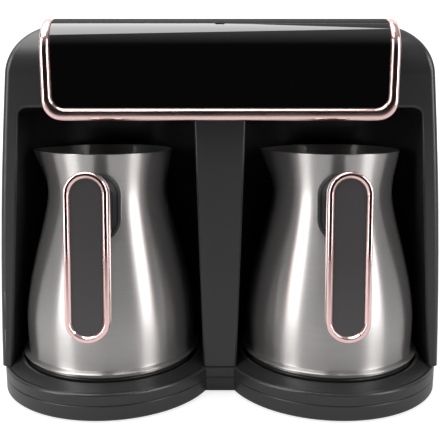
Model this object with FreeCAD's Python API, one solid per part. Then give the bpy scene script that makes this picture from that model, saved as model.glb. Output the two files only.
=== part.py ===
import FreeCAD, Part
import math
import os

# Twin electric coffee maker. Two steel pots stand on hot plates in two bays, under one head.
# Millimetres. X runs to the right, Y to the back, Z up from the table.

V = FreeCAD.Vector
ACROSS = V(1, 0, 0)
BACKWARD = V(0, 1, 0)
UPWARD = V(0, 0, 1)
FAR = 400.0

# Overall layout
POT_PITCH = 129.6
REAR_REACH = 92.0
GLAND_PROUD = 2.0
TOP_Z = 207.0
FOOT_HEIGHT = 1.2
TRAY_HEIGHT = 8.3
DECK_HEIGHT = 6.7
WALL = 2.5
SEAM = 0.4

# Base
LOBE_RADIUS = 62.2
BRIDGE_FRONT = 25.0
BASE_CORNER = 18.0
DECK_EDGE = 1.5
LIP_RADIUS = 53.0
LIP_RISE = 2.4
LIP_FIT = 0.3
RING_FOOT_RADIUS = 60.0
WELL_WALL = 2.5
LEDGE_WIDTH = 6.0
LEDGE_THICK = 2.0
WELL_DEPTH_BELOW_DECK = 4.2
TRAY_EDGE = 0.8
TRAY_VENTS_PER_SIDE = 7
TRAY_VENT_X = 38.0
TRAY_VENT_PITCH = 7.0
TRAY_VENT_WIDTH = 2.4
TRAY_VENT_BACK = 40.0
TRAY_VENT_LENGTH = 22.0
DECK_HATCH_HALF_WIDTH = 30.0
DECK_HATCH_FRONT = 3.0
DECK_HATCH_BACK = 12.0

# Hot plates
SEAL_THICK = 1.0
PLATE_FLANGE_RADIUS = 51.0
PLATE_FLANGE_THICK = 3.0
PLATE_TOP_RADIUS = 49.5
PLATE_PROUD_OF_LIP = 0.4
ELEMENT_RADIUS = 34.0
ELEMENT_WIRE = 3.0
ELEMENT_SINK = 1.0
ELEMENT_TURN = 300.0
TERMINAL_RADIUS = 1.3
TERMINAL_LENGTH = 9.0
THERMOSTAT_RADIUS = 7.0
THERMOSTAT_THICK = 4.5
THERMOSTAT_OFFSET = 20.5
TAB_WIDTH = 5.0
TAB_REACH = 3.0
TAB_THICK = 0.8
PLATE_ROUND = 0.6
SEAL_BELOW_LIP = 1.0

# Plate sensors
SENSOR_RADIUS = 8.0
SENSOR_CAP = 2.4
SENSOR_ROUND = 0.8
SENSOR_END_GAP = 0.4
SENSOR_GAP = 0.5
SENSOR_TOUCH = 0.05
SENSOR_STEM = 2.6
STEM_GAP = 0.15
SENSOR_TRAVEL = 2.0
HOLDER_FLANGE = 10.0
HOLDER_FLANGE_THICK = 1.5
HOLDER_TUBE = 4.2
HOLDER_TOP_GAP = 0.6
SPRING_WIRE = 0.5
SPRING_TURNS = 4
SPRING_STEPS = 20
SPRING_SIDES = 6
SPRING_GAP = 0.4

# Housing
FACE_OUT = 25.0
SIDE_AT_FOOT = 124.6
SIDE_AT_MIDDLE = 121.0
SIDE_AT_SHOULDER = 114.9
SHOULDER_LAP = 4.7
SHOULDER_STRAIGHT = 6.0
BROW_ROUND = 28.0
REAR_ROUND = 14.0
FACE_EDGE = 3.5
PARTING_BACK = 62.0
BAY_INNER_FOOT = 9.5
BAY_OUTER_FOOT = 118.3
BAY_INNER_TOP = 14.1
BAY_OUTER_TOP = 107.2
BAY_TOP_Z = 161.5
BAY_TOP_ROUND = 5.0
BAY_EDGE = 1.5

# Rear cover
REAR_BOSS_LOW_Z = 38.0
REAR_BOSS_BELOW_TOP = 35.0
HOUSING_BOSS = 12.0
VENT_COUNT = 9
VENT_PITCH = 9.0
VENT_WIDTH = 3.0
VENT_HEIGHT = 26.0
VENT_ABOVE_BOARD = 16.0

# Head
HEAD_OUT = 46.0
HEAD_BEND = 18.0
HEAD_HALF_WIDTH = 89.6
HEAD_BOTTOM_Z = 155.5
HEAD_CORNER = 10.0
TRIM_WIDTH = 5.0
TRIM_BOTTOM_WIDTH = 6.1
TRIM_CORNER = 6.5
TRIM_PROUD = 1.2
TRIM_PROUD_AT_TOP = 0.2
TRIM_ROUND = 2.0
PANEL_THICK = 3.0
PANEL_FIT = 0.15
PANEL_SEAM_ANGLE = 56.0
NOTCH_WIDTH = 4.6
NOTCH_DEPTH = 0.8
CARRIER_MARGIN = 4.0
HEAD_FIT = 0.2
WIRE_SLOT = 9.0
WIRE_SLOT_FRONT = 38.0
WIRE_SLOT_BACK = 50.0

# Buttons and control board
BUTTON_RADIUS = 9.0
BUTTON_GAP = 0.35
BUTTON_PROUD = 0.2
BUTTON_TRAVEL = 0.8
BUTTON_FLANGE = 1.6
BUTTON_FLANGE_THICK = 1.4
BUTTON_SLACK = 0.1
BUTTON_PIN = 2.0
BUTTON_BEHIND = 4.0
BUTTON_INSET = 24.8
BUTTON_ROUND = 0.5
BUTTON_DISH_RADIUS = 60.0
BUTTON_DISH_DEPTH = 0.35
BOARD_THICK = 1.6
BOARD_INSET = 3.6
BOARD_BOSS_INSET = 5.0
BOARD_DEPTH = 30.0
BOARD_BOSS = 7.0
BOARD_BOSS_RADIUS = 3.0
BOARD_PLUG = (-8.0, 8.0, 2.0, 10.0, 7.0)
BOARD_CHIP = (20.0, 32.0, -6.0, 6.0, 2.0)
DOME_TOP_SPARE = 0.6
DOME_RADIUS = 5.0
DOME_HEIGHT = 3.2
DOME_WALL = 0.7

# Foam sensors over the pots
WINDOW_RADIUS = 8.0
WINDOW_FLANGE = 1.6
WINDOW_FLANGE_THICK = 1.6
WINDOW_DROP = 0.6
WINDOW_FIT = 0.3
SENSOR_BOX = 5.0

# Power board
POWER_WIDTH = 96.0
POWER_LOW = 52.0
POWER_HIGH = 122.0
POWER_STANDOFF = 6.0
POWER_CORNER = 5.0
STANDOFF_RADIUS = 3.0
RELAY_X = 24.0
RELAY_WIDTH = 20.0
RELAY_DEPTH = 12.0
RELAY_LOW = 62.0
RELAY_HIGH = 78.0
TRANSFORMER_WIDTH = 28.0
TRANSFORMER_DEPTH = 13.0
TRANSFORMER_LOW = 88.0
TRANSFORMER_HIGH = 110.0
CAPACITOR_X = 32.0
CAPACITOR_Z = 98.0
CAPACITOR_RADIUS = 5.0
CAPACITOR_DEPTH = 12.0

# Pots
POT_BASE_THICK = 2.0
POT_BASE_RADIUS = 49.0
POT_BASE_ROUND = 0.8
POT_BEAD_RADIUS = 51.5
POT_BEAD_HEIGHT = 3.0
POT_FOOT_RADIUS = 50.0
POT_HEIGHT = 118.8
POT_WALL = 0.8
POT_BELLY = ((50.0, 18.0), (45.6, 46.0), (37.2, 79.0))
POT_NECK = (33.7, 97.0)
POT_RIM_RADIUS = 37.3
SPOUT_REACH = 42.0
SPOUT_RADIUS = 11.0
SPOUT_DROP = 20.0
SPOUT_ROOT_RADIUS = 2.0
SPOUT_ROOT_PROUD = 0.2
LEFT_POT_TURN = 0.9
RIGHT_POT_TURN = -2.3

# Pot handles
GRIP_TOP_OUT = 72.0
GRIP_TOP_Z = 114.0
GRIP_LENGTH = 82.5
GRIP_RADIUS = 10.9
GRIP_LEAN = 6.3
GRIP_TRIM_DEPTH = 6.0
GRIP_TRIM_WIDTH = 3.3
GRIP_TRIM_ROUND = 1.4
GRIP_TRIM_BEVEL = 1.0
GRIP_CORE_INSET = 0.7
GRIP_CORE_DEPTH = 7.0
GRIP_CORE_ROUND = 3.5
GRIP_INSERT_THICK = 2.0
GRIP_INSERT_SINK = 1.0
BRACKET_RADIUS = 11.8
BRACKET_LOW = 73.0
BRACKET_HIGH = 109.0
BRACKET_THICK = 2.6
BRACKET_RIM = 1.8
BRACKET_RECESS = 0.6
ARM_HALF_WIDTH = 7.8
ARM_LOW = 79.0
ARM_HIGH = 105.0
ARM_ROUND = 5.0
SCREW_DOWN = 24.0
SCREW_RADIUS = 2.0
SCREW_HEAD_RADIUS = 3.8
SCREW_HEAD_THICK = 2.4
NUT_RADIUS = 4.0
NUT_LENGTH = 8.0
NUT_END_GAP = 1.0
NUT_OVERLAP = 6.0
THREAD_SPARE = 2.0

# Small fasteners, feet and the cord inlet
FOOT_RADIUS = 8.0
FOOT_SINK = 1.0
FOOT_FIT = 0.2
FOOT_FROM_BACK = 10.0
FOOT_FROM_SIDE = 22.0
FOOT_FROM_FRONT = 8.0
PILOT_RADIUS = 1.4
BOSS_RADIUS = 4.0
COUNTERBORE = 3.4
SMALL_HEAD_RADIUS = 3.1
SMALL_HEAD_THICK = 1.2
SMALL_SCREW_GRIP = 9.0
BLIND_END = 2.0
REAR_HEAD_THICK = 2.0
REAR_SCREW_X = 40.0
REAR_BORE_DEPTH = 14.0
GLAND_X = 84.0
GLAND_Z = 27.0
GLAND_RADIUS = 6.0
GLAND_FLANGE = 8.5
GLAND_BORE = 3.6
GLAND_INSIDE = 6.0
GLAND_INNER_FLANGE = 2.0

# Sizes that follow from the ones above
HALF_PITCH = POT_PITCH / 2
LEAN = math.radians(GRIP_LEAN)
HANDLE_REACH = GRIP_TOP_OUT + GRIP_LENGTH * math.sin(LEAN)
AXIS_Y = (HANDLE_REACH - REAR_REACH - GLAND_PROUD) / 2
TRAY_TOP = FOOT_HEIGHT + TRAY_HEIGHT
DECK_TOP = TRAY_TOP + DECK_HEIGHT
LIP_TOP = DECK_TOP + LIP_RISE
PLATE_TOP = LIP_TOP + PLATE_PROUD_OF_LIP
TRAY_FLOOR_TOP = FOOT_HEIGHT + WALL
LEDGE_TOP = DECK_TOP - WELL_DEPTH_BELOW_DECK
PLATE_UNDER = LEDGE_TOP + SEAL_THICK
REAR_Y = AXIS_Y + REAR_REACH
FACE_Y = AXIS_Y - FACE_OUT
HEAD_Y = AXIS_Y - HEAD_OUT
PARTING_Y = AXIS_Y + PARTING_BACK
CEILING_TOP = BAY_TOP_Z + WALL
BOSS_TOP = DECK_TOP + SMALL_SCREW_GRIP + BLIND_END
SHOULDER_ROUND = SIDE_AT_SHOULDER - HEAD_HALF_WIDTH + SHOULDER_LAP
SHOULDER_Z = TOP_Z - SHOULDER_ROUND - SHOULDER_STRAIGHT
PANEL_HALF_WIDTH = HEAD_HALF_WIDTH - TRIM_WIDTH
PANEL_BOTTOM_Z = HEAD_BOTTOM_Z + TRIM_BOTTOM_WIDTH
SKIN_DEPTH = TRIM_PROUD + PANEL_THICK
COVER_TOP = TOP_Z - TRIM_PROUD_AT_TOP
COVER_UNDER = COVER_TOP - PANEL_THICK
BOARD_TOP = COVER_UNDER - BOARD_BOSS
BUTTON_Y = AXIS_Y + BUTTON_BEHIND
BUTTON_X = HEAD_HALF_WIDTH - BUTTON_INSET
BOARD_HALF_WIDTH = PANEL_HALF_WIDTH - BOARD_INSET
BOARD_FRONT = BUTTON_Y - BOARD_DEPTH / 2
BOARD_BACK = BUTTON_Y + BOARD_DEPTH / 2
SIDES = (("left", -1), ("right", 1))


# Basic solids
def block(x0, x1, y0, y1, z0, z1):
    return Part.makeBox(x1 - x0, y1 - y0, z1 - z0, V(x0, y0, z0))


def rod(radius, start, end):
    start, end = V(*start), V(*end)
    return Part.makeCylinder(radius, (end - start).Length, start, end - start)


def disc(radius, z0, z1, x=0.0, y=AXIS_Y):
    return Part.makeCylinder(radius, z1 - z0, V(x, y, z0))


def tube(outer, inner, z0, z1, x=0.0, y=AXIS_Y):
    return disc(outer, z0, z1, x, y).cut(disc(inner, z0 - 1, z1 + 1, x, y))


def fuse(shapes):
    whole = shapes[0]
    for shape in shapes[1:]:
        whole = whole.fuse(shape)
    return whole.removeSplitter()


def edges_where(shape, test):
    return [e for e in shape.Edges if test(e)]


def lies_along(edge, axis):
    ends = edge.Vertexes
    if len(ends) < 2:
        return False
    run = ends[1].Point - ends[0].Point
    return run.Length > 1e-6 and abs(run.normalize().dot(axis)) > 0.999


def rounded(shape, radius, edges):
    """The shape with those edges rounded."""
    return shape.makeFillet(radius, edges)


def upright_round(shape, radius, test):
    """Rounds the upright straight edges whose middle passes the test."""
    picked = edges_where(
        shape, lambda e: lies_along(e, UPWARD) and test(e.CenterOfMass)
    )
    return rounded(shape, radius, picked)


# Base
def base_prism(inset, z0, z1):
    """The plan of the base, two round lobes in front of one straight-sided rear, drawn in by inset."""
    radius = LOBE_RADIUS - inset
    half_width = HALF_PITCH + radius
    rear = block(-half_width, half_width, AXIS_Y, REAR_Y - inset, z0, z1)
    rear = upright_round(rear, BASE_CORNER - inset, lambda c: c.y > AXIS_Y + 1)
    bridge = block(
        -HALF_PITCH, HALF_PITCH, AXIS_Y - BRIDGE_FRONT + inset, AXIS_Y + 1, z0, z1
    )
    lobes = [disc(radius, z0, z1, side * HALF_PITCH) for _, side in SIDES]
    return fuse([rear, bridge, *lobes])


def base_screw_places():
    """Two in the rear corners of the bays, one in the column, two in the rear cover."""
    bay_radius = (BAY_OUTER_FOOT - BAY_INNER_FOOT) / 2
    reach = (bay_radius + WALL + BOSS_RADIUS - 1.5) * math.sqrt(0.5)
    corner = BAY_INNER_FOOT + bay_radius + reach
    column = AXIS_Y - FACE_OUT + WALL + BOSS_RADIUS - 1
    back = REAR_Y - WALL - BOSS_RADIUS + 1
    return [
        (-corner, AXIS_Y + reach),
        (corner, AXIS_Y + reach),
        (0.0, column),
        (-REAR_SCREW_X, back),
        (REAR_SCREW_X, back),
    ]


def bosses(z0, z1, x_y_places, pilot=PILOT_RADIUS):
    """Screw bosses as pairs of solid posts and their holes."""
    posts = [disc(BOSS_RADIUS, z0, z1, x, y) for x, y in x_y_places]
    holes = [disc(pilot, z0 - 1, z1 + 1, x, y) for x, y in x_y_places]
    return posts, holes


def foot_places():
    back = REAR_Y - FOOT_RADIUS - FOOT_FROM_BACK
    side = HALF_PITCH + LOBE_RADIUS - FOOT_RADIUS - FOOT_FROM_SIDE
    front = AXIS_Y - LOBE_RADIUS + FOOT_RADIUS + FOOT_FROM_FRONT
    return [(-side, back), (side, back), (-HALF_PITCH, front), (HALF_PITCH, front)]


def vent_slots():
    """Two rows of slots in the floor, behind the hot plates."""
    slots = []
    half = TRAY_VENT_WIDTH / 2
    y0 = AXIS_Y + TRAY_VENT_BACK
    y1 = y0 + TRAY_VENT_LENGTH
    for _, side in SIDES:
        for step in range(TRAY_VENTS_PER_SIDE):
            x = side * (TRAY_VENT_X + TRAY_VENT_PITCH * step)
            slots.append(block(x - half, x + half, y0, y1, 0.0, TRAY_FLOOR_TOP + 1))
    return slots


def base_tray():
    """The bottom pan: floor, skirt, foot pockets, screw holes and vents."""
    pan = base_prism(0.0, FOOT_HEIGHT, TRAY_TOP)
    outer_low = edges_where(pan, lambda e: abs(e.BoundBox.ZMax - FOOT_HEIGHT) < 1e-6)
    pan = pan.makeChamfer(TRAY_EDGE, outer_low)
    outer_high = edges_where(pan, lambda e: abs(e.BoundBox.ZMin - TRAY_TOP) < 1e-6)
    pan = pan.makeChamfer(SEAM, outer_high)
    pan = pan.cut(base_prism(WALL, TRAY_FLOOR_TOP, TRAY_TOP + 1))
    for x, y in base_screw_places():
        pan = pan.cut(disc(PILOT_RADIUS, 0, TRAY_FLOOR_TOP + 1, x, y))
        pan = pan.cut(disc(COUNTERBORE, 0, FOOT_HEIGHT + SMALL_HEAD_THICK, x, y))
    for x, y in foot_places():
        pan = pan.cut(disc(FOOT_RADIUS, 0, FOOT_HEIGHT + FOOT_SINK, x, y))
    for slot in vent_slots():
        pan = pan.cut(slot)
    return pan


def lip_ring(side):
    """The raised sloping ring round one hot plate, kept inside its bay."""
    x = side * HALF_PITCH
    cone = Part.makeCone(
        RING_FOOT_RADIUS, LIP_RADIUS, LIP_RISE, V(x, AXIS_Y, DECK_TOP), UPWARD
    )
    room = block(-FAR, FAR, -FAR, FACE_Y - LIP_FIT, 0, FAR)
    room = room.fuse(bay_hollow(side, -LIP_FIT, LIP_TOP + 1))
    return cone.common(room).cut(disc(LIP_RADIUS, DECK_TOP - 1, LIP_TOP + 1, x))


def base_deck():
    """The upper half of the base, with a stepped well for each hot plate."""
    deck = base_prism(0.0, TRAY_TOP, DECK_TOP)
    top_edges = edges_where(deck, lambda e: abs(e.BoundBox.ZMin - DECK_TOP) < 1e-6)
    deck = deck.makeFillet(DECK_EDGE, top_edges)
    low_edges = edges_where(deck, lambda e: abs(e.BoundBox.ZMax - TRAY_TOP) < 1e-6)
    deck = deck.makeChamfer(SEAM, low_edges)
    deck = deck.cut(base_prism(WALL, TRAY_TOP - 1, DECK_TOP - WALL))
    for _, side in SIDES:
        x = side * HALF_PITCH
        well = disc(LIP_RADIUS + WELL_WALL, LEDGE_TOP - LEDGE_THICK, DECK_TOP, x)
        deck = deck.fuse([well, lip_ring(side)])
        deck = deck.cut(disc(LIP_RADIUS, LEDGE_TOP, LIP_TOP + 1, x))
        deck = deck.cut(disc(LIP_RADIUS - LEDGE_WIDTH, 0, LIP_TOP + 1, x))
    posts, holes = bosses(TRAY_FLOOR_TOP, DECK_TOP, base_screw_places())
    room = base_prism(WALL + SEAM, TRAY_FLOOR_TOP, TRAY_TOP)
    room = room.fuse(base_prism(SEAM, TRAY_TOP, DECK_TOP))
    deck = deck.fuse([post.common(room) for post in posts]).cut(holes)
    hatch = block(
        -DECK_HATCH_HALF_WIDTH, DECK_HATCH_HALF_WIDTH,
        PARTING_Y + WALL + DECK_HATCH_FRONT, REAR_Y - WALL - DECK_HATCH_BACK,
        TRAY_TOP, DECK_TOP + 1,
    )
    return deck.cut(hatch).removeSplitter()


def rubber_feet():
    top = FOOT_HEIGHT + FOOT_SINK
    return [disc(FOOT_RADIUS - FOOT_FIT, 0, top, x, y) for x, y in foot_places()]


def base_screws():
    screws = []
    for x, y in base_screw_places():
        head_top = FOOT_HEIGHT + SMALL_HEAD_THICK
        head = disc(SMALL_HEAD_RADIUS, FOOT_HEIGHT, head_top, x, y)
        shank = disc(PILOT_RADIUS, head_top, DECK_TOP + SMALL_SCREW_GRIP, x, y)
        screws.append(fuse([head, shank]))
    return screws


# Hot plates
def heating_plate(x):
    flange = disc(PLATE_FLANGE_RADIUS, PLATE_UNDER, PLATE_UNDER + PLATE_FLANGE_THICK, x)
    top = disc(PLATE_TOP_RADIUS, PLATE_UNDER, PLATE_TOP, x)
    plate = fuse([flange, top])
    rim = edges_where(plate, lambda e: abs(e.BoundBox.ZMin - PLATE_TOP) < 1e-6)
    plate = plate.makeFillet(PLATE_ROUND, rim)
    plate = plate.cut(disc(SENSOR_RADIUS + SENSOR_GAP, 0, PLATE_TOP + 1, x))
    return plate.cut(element_ring(x))


def element_ring(x):
    """Three hundred degrees of tube, open to the back."""
    centre = V(x, AXIS_Y, PLATE_UNDER + ELEMENT_SINK - ELEMENT_WIRE)
    section = Part.Wire(
        Part.makeCircle(ELEMENT_WIRE, centre + V(ELEMENT_RADIUS, 0, 0), BACKWARD)
    )
    opening = (360.0 - ELEMENT_TURN) / 2
    ring = Part.Face(section).revolve(centre, UPWARD, ELEMENT_TURN)
    ring.rotate(centre, UPWARD, 90.0 + opening)
    return ring


def heating_element(x):
    """The tube and the two terminals that leave its ends."""
    ring = element_ring(x)
    z = PLATE_UNDER + ELEMENT_SINK - ELEMENT_WIRE
    pieces = [ring]
    for side in (-1, 1):
        angle = math.radians(90.0 + side * (360.0 - ELEMENT_TURN) / 2)
        end = V(
            x + ELEMENT_RADIUS * math.cos(angle),
            AXIS_Y + ELEMENT_RADIUS * math.sin(angle),
            z,
        )
        run = V(math.sin(angle), -math.cos(angle), 0) * side
        pieces.append(
            Part.makeCylinder(TERMINAL_RADIUS, TERMINAL_LENGTH, end, run)
        )
    return fuse(pieces)


def plate_seal(x):
    """An angle-section ring under and around the plate."""
    under = tube(LIP_RADIUS, LIP_RADIUS - LEDGE_WIDTH, LEDGE_TOP, PLATE_UNDER, x)
    upstand = tube(LIP_RADIUS, PLATE_FLANGE_RADIUS, PLATE_UNDER, LIP_TOP - SEAL_BELOW_LIP, x)
    return fuse([under, upstand])


def thermostat(x):
    low = PLATE_UNDER - THERMOSTAT_THICK
    y = AXIS_Y - THERMOSTAT_OFFSET
    can = disc(THERMOSTAT_RADIUS, low, PLATE_UNDER, x, y)
    front = y - THERMOSTAT_RADIUS - TAB_REACH
    tab = block(x - TAB_WIDTH / 2, x + TAB_WIDTH / 2, front, y, low, low + TAB_THICK)
    return fuse([can, tab])


# Plate sensors
def sensor_top():
    return PLATE_TOP - SENSOR_TOUCH


def plate_sensor(x):
    """A sprung cap that feels the foot of the pot, on a stem."""
    cap_under = sensor_top() - SENSOR_CAP
    cap = disc(SENSOR_RADIUS, cap_under, sensor_top(), x)
    rim = edges_where(cap, lambda e: abs(e.BoundBox.ZMin - sensor_top()) < 1e-6)
    cap = cap.makeFillet(SENSOR_ROUND, rim)
    stem_low = TRAY_FLOOR_TOP + SENSOR_TRAVEL + SENSOR_END_GAP
    return fuse([cap, disc(SENSOR_STEM, stem_low, cap_under, x)])


def sensor_holder(x):
    """A flanged guide on the floor of the base, in which the stem slides."""
    top = sensor_top() - SENSOR_CAP - SENSOR_TRAVEL - HOLDER_TOP_GAP
    flange_top = TRAY_FLOOR_TOP + HOLDER_FLANGE_THICK
    body = fuse(
        [
            disc(HOLDER_FLANGE, TRAY_FLOOR_TOP, flange_top, x),
            disc(HOLDER_TUBE, TRAY_FLOOR_TOP, top, x),
        ]
    )
    return body.cut(disc(SENSOR_STEM + STEM_GAP, 0, top + 1, x))


def sensor_spring(x):
    """A helical spring round the guide, from its flange to the cap."""
    low = TRAY_FLOOR_TOP + HOLDER_FLANGE_THICK + SPRING_WIRE
    high = sensor_top() - SENSOR_CAP - SPRING_WIRE
    radius = HOLDER_TUBE + SPRING_GAP + SPRING_WIRE
    steps = SPRING_TURNS * SPRING_STEPS
    rings = []
    for step in range(steps + 1):
        turn = 2 * math.pi * step / SPRING_STEPS
        outward = V(math.cos(turn), math.sin(turn), 0)
        centre = V(x, AXIS_Y, low + (high - low) * step / steps) + outward * radius
        rings.append([
            centre
            + outward * (SPRING_WIRE * math.cos(2 * math.pi * k / SPRING_SIDES))
            + UPWARD * (SPRING_WIRE * math.sin(2 * math.pi * k / SPRING_SIDES))
            for k in range(SPRING_SIDES)
        ])
    return solid_through(rings)


def solid_through(rings):
    """A closed solid of flat faces through rings of points, each joined to the next."""
    faces = [flat_face(rings[0]), flat_face(rings[-1])]
    for ring, following in zip(rings, rings[1:]):
        for k in range(len(ring)):
            after = (k + 1) % len(ring)
            faces.append(flat_face([ring[k], ring[after], following[k]]))
            faces.append(flat_face([ring[after], following[after], following[k]]))
    shell = Part.makeShell(faces)
    solid = Part.makeSolid(shell)
    return solid if solid.Volume > 0 else solid.reversed()


def flat_face(points):
    return Part.Face(Part.makePolygon([*points, points[0]]))


# Housing
def side_profile(inset):
    """Half of the front outline, from the foot to the top, as a closed face at y = 0."""
    foot = V(SIDE_AT_FOOT - inset, 0, 0)
    middle = V(SIDE_AT_MIDDLE - inset, 0, (DECK_TOP + SHOULDER_Z) / 2)
    shoulder = V(SIDE_AT_SHOULDER - inset, 0, SHOULDER_Z)
    side = Part.Arc(foot + V(0, 0, DECK_TOP), middle, shoulder)
    lean = side.tangent(side.LastParameter)[0]
    rise = TOP_Z - inset - SHOULDER_Z
    top = shoulder + lean * (rise / lean.z)
    corners = [top, V(-top.x, 0, top.z), V(-shoulder.x, 0, shoulder.z)]
    mirror_side = Part.Arc(
        V(-shoulder.x, 0, shoulder.z),
        V(-middle.x, 0, middle.z),
        V(-foot.x, 0, DECK_TOP),
    )
    edges = [
        side.toShape(),
        Part.LineSegment(shoulder, corners[0]).toShape(),
        Part.LineSegment(corners[0], corners[1]).toShape(),
        Part.LineSegment(corners[1], corners[2]).toShape(),
        mirror_side.toShape(),
        Part.LineSegment(V(-foot.x, 0, DECK_TOP), V(foot.x, 0, DECK_TOP)).toShape(),
    ]
    return Part.Face(Part.Wire(edges))


def body_block(inset, edge_round):
    """The whole upper body as one solid, its walls drawn in by inset."""
    front = FACE_Y + inset
    back = REAR_Y - inset
    face = side_profile(inset)
    face.translate(V(0, front, 0))
    body = face.extrude(V(0, back - front, 0))
    top_z = TOP_Z - inset
    ridges = edges_where(
        body,
        lambda e: lies_along(e, BACKWARD) and abs(e.CenterOfMass.z - top_z) < 1e-6,
    )
    body = rounded(body, SHOULDER_ROUND - inset, ridges)
    brow = block(-FAR, FAR, front, back, 0, top_z)
    for y, radius in ((front, BROW_ROUND), (back, REAR_ROUND)):
        ridge = edges_where(
            brow,
            lambda e: lies_along(e, ACROSS)
            and abs(e.CenterOfMass.z - top_z) < 1e-6
            and abs(e.CenterOfMass.y - y) < 1e-6,
        )
        brow = rounded(brow, radius - inset, ridge)
    body = body.common(brow)
    if edge_round:
        upright = edges_where(
            body,
            lambda e: abs(e.CenterOfMass.x) > HEAD_HALF_WIDTH - SHOULDER_LAP - inset
            and e.BoundBox.ZLength > 20
            and (
                e.BoundBox.YMax < front + BROW_ROUND + 1
                or e.BoundBox.YMin > back - REAR_ROUND - 1
            ),
        )
        body = body.makeFillet(edge_round, upright)
    return body


def bay_outline(side, grow, z):
    """The plan of one bay at height z: round at the back, straight and open to the front."""
    share = (z - DECK_TOP) / (BAY_TOP_Z - DECK_TOP)
    inner = BAY_INNER_FOOT + (BAY_INNER_TOP - BAY_INNER_FOOT) * share - grow
    outer = BAY_OUTER_FOOT + (BAY_OUTER_TOP - BAY_OUTER_FOOT) * share + grow
    near, far = side * inner, side * outer
    radius = (outer - inner) / 2
    back = V((near + far) / 2, AXIS_Y + radius, z)
    front = FACE_Y - 40.0
    return Part.Wire([
        Part.Arc(V(near, AXIS_Y, z), back, V(far, AXIS_Y, z)).toShape(),
        Part.LineSegment(V(far, AXIS_Y, z), V(far, front, z)).toShape(),
        Part.LineSegment(V(far, front, z), V(near, front, z)).toShape(),
        Part.LineSegment(V(near, front, z), V(near, AXIS_Y, z)).toShape(),
    ])


def bay_hollow(side, grow, top):
    rings = [bay_outline(side, grow, z) for z in (DECK_TOP - 1.0, top)]
    return Part.makeLoft(rings, True, True)


def bay(side, grow, top):
    """The hollow in which one pot stands, grown outwards by grow and rounded at its top."""
    hollow = bay_hollow(side, grow, top)
    rim = edges_where(
        hollow, lambda e: e.BoundBox.ZMin > top - 1e-3 and e.BoundBox.YMax > FACE_Y
    )
    return hollow.makeFillet(BAY_TOP_ROUND + grow, rim)


def half_width(z):
    """Half the outer width of the body at height z, by the parabola through its three widths."""
    rise = (z - DECK_TOP) / (SHOULDER_Z - DECK_TOP)
    bulge = SIDE_AT_MIDDLE - (SIDE_AT_FOOT + SIDE_AT_SHOULDER) / 2
    return SIDE_AT_FOOT + (SIDE_AT_SHOULDER - SIDE_AT_FOOT) * rise + 4 * bulge * rise * (1 - rise)


def rear_screw_places():
    places = []
    for z in (REAR_BOSS_LOW_Z, TOP_Z - REAR_BOSS_BELOW_TOP):
        x = half_width(z) - WALL - BOSS_RADIUS + 1
        places += [(-x, z), (x, z)]
    return places


def front_housing():
    """The large moulding: shoulders, side walls, column and the two bays."""
    shell = body_block(0.0, FACE_EDGE)
    shell = shell.cut(block(-FAR, FAR, PARTING_Y, FAR, 0, FAR))
    cavity = body_block(WALL, 0.0).fuse(
        block(-FAR, FAR, -FAR, FAR, 0, DECK_TOP + WALL).common(
            body_prism(WALL, DECK_TOP - 1, DECK_TOP + WALL + 1)
        )
    )
    for _, side in SIDES:
        cavity = cavity.cut(bay(side, WALL, CEILING_TOP))
        flank = sorted([side * HALF_PITCH, side * FAR])
        cavity = cavity.cut(block(*flank, -FAR, AXIS_Y, 0, CEILING_TOP))
    wall_x = HEAD_HALF_WIDTH + HEAD_FIT + WALL
    cavity = cavity.cut(block(-wall_x, wall_x, -FAR, FAR, BAY_TOP_Z, FAR))
    shell = shell.cut(cavity)
    posts, holes = bosses(DECK_TOP, BOSS_TOP, base_screw_places()[:3])
    for x, z in rear_screw_places():
        posts.append(rod(BOSS_RADIUS, (x, PARTING_Y - HOUSING_BOSS, z), (x, PARTING_Y, z)))
        holes.append(rod(PILOT_RADIUS, (x, PARTING_Y - SMALL_SCREW_GRIP, z), (x, PARTING_Y + 1, z)))
    shell = shell.fuse([post.common(body_block(0.5, 0.0)) for post in posts]).cut(holes)
    for _, side in SIDES:
        x = side * HALF_PITCH
        shell = shell.cut(bay(side, 0.0, BAY_TOP_Z))
        shell = shell.cut(disc(WINDOW_RADIUS, BAY_TOP_Z - 1, CEILING_TOP + 1, x))
    slot = HEAD_HALF_WIDTH + HEAD_FIT
    shell = shell.cut(block(-slot, slot, -FAR, PARTING_Y + 1, CEILING_TOP, FAR))
    shell = shell.cut(wire_slot())
    return shell.makeFillet(BAY_EDGE, edges_where(shell, is_bay_mouth))


def wire_slot():
    """The way for the wires, from the rear space through the ceiling of the bays to the head."""
    return block(
        -WIRE_SLOT, WIRE_SLOT, AXIS_Y + WIRE_SLOT_FRONT, AXIS_Y + WIRE_SLOT_BACK,
        BAY_TOP_Z - 1, CEILING_TOP + WALL + 1,
    )


def is_bay_mouth(edge):
    """The edges between the face of the housing and a bay."""
    box, middle = edge.BoundBox, edge.CenterOfMass
    in_face = box.YLength < 0.01 and abs(box.YMax - FACE_Y) < 0.01
    inside = abs(middle.x) < half_width(middle.z) - FACE_EDGE - 0.4
    return in_face and inside and DECK_TOP + 5 < box.ZMax < BAY_TOP_Z + 1


def body_prism(inset, z0, z1):
    return block(
        -SIDE_AT_FOOT + inset, SIDE_AT_FOOT - inset, FACE_Y + inset, REAR_Y - inset, z0, z1
    )


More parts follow.
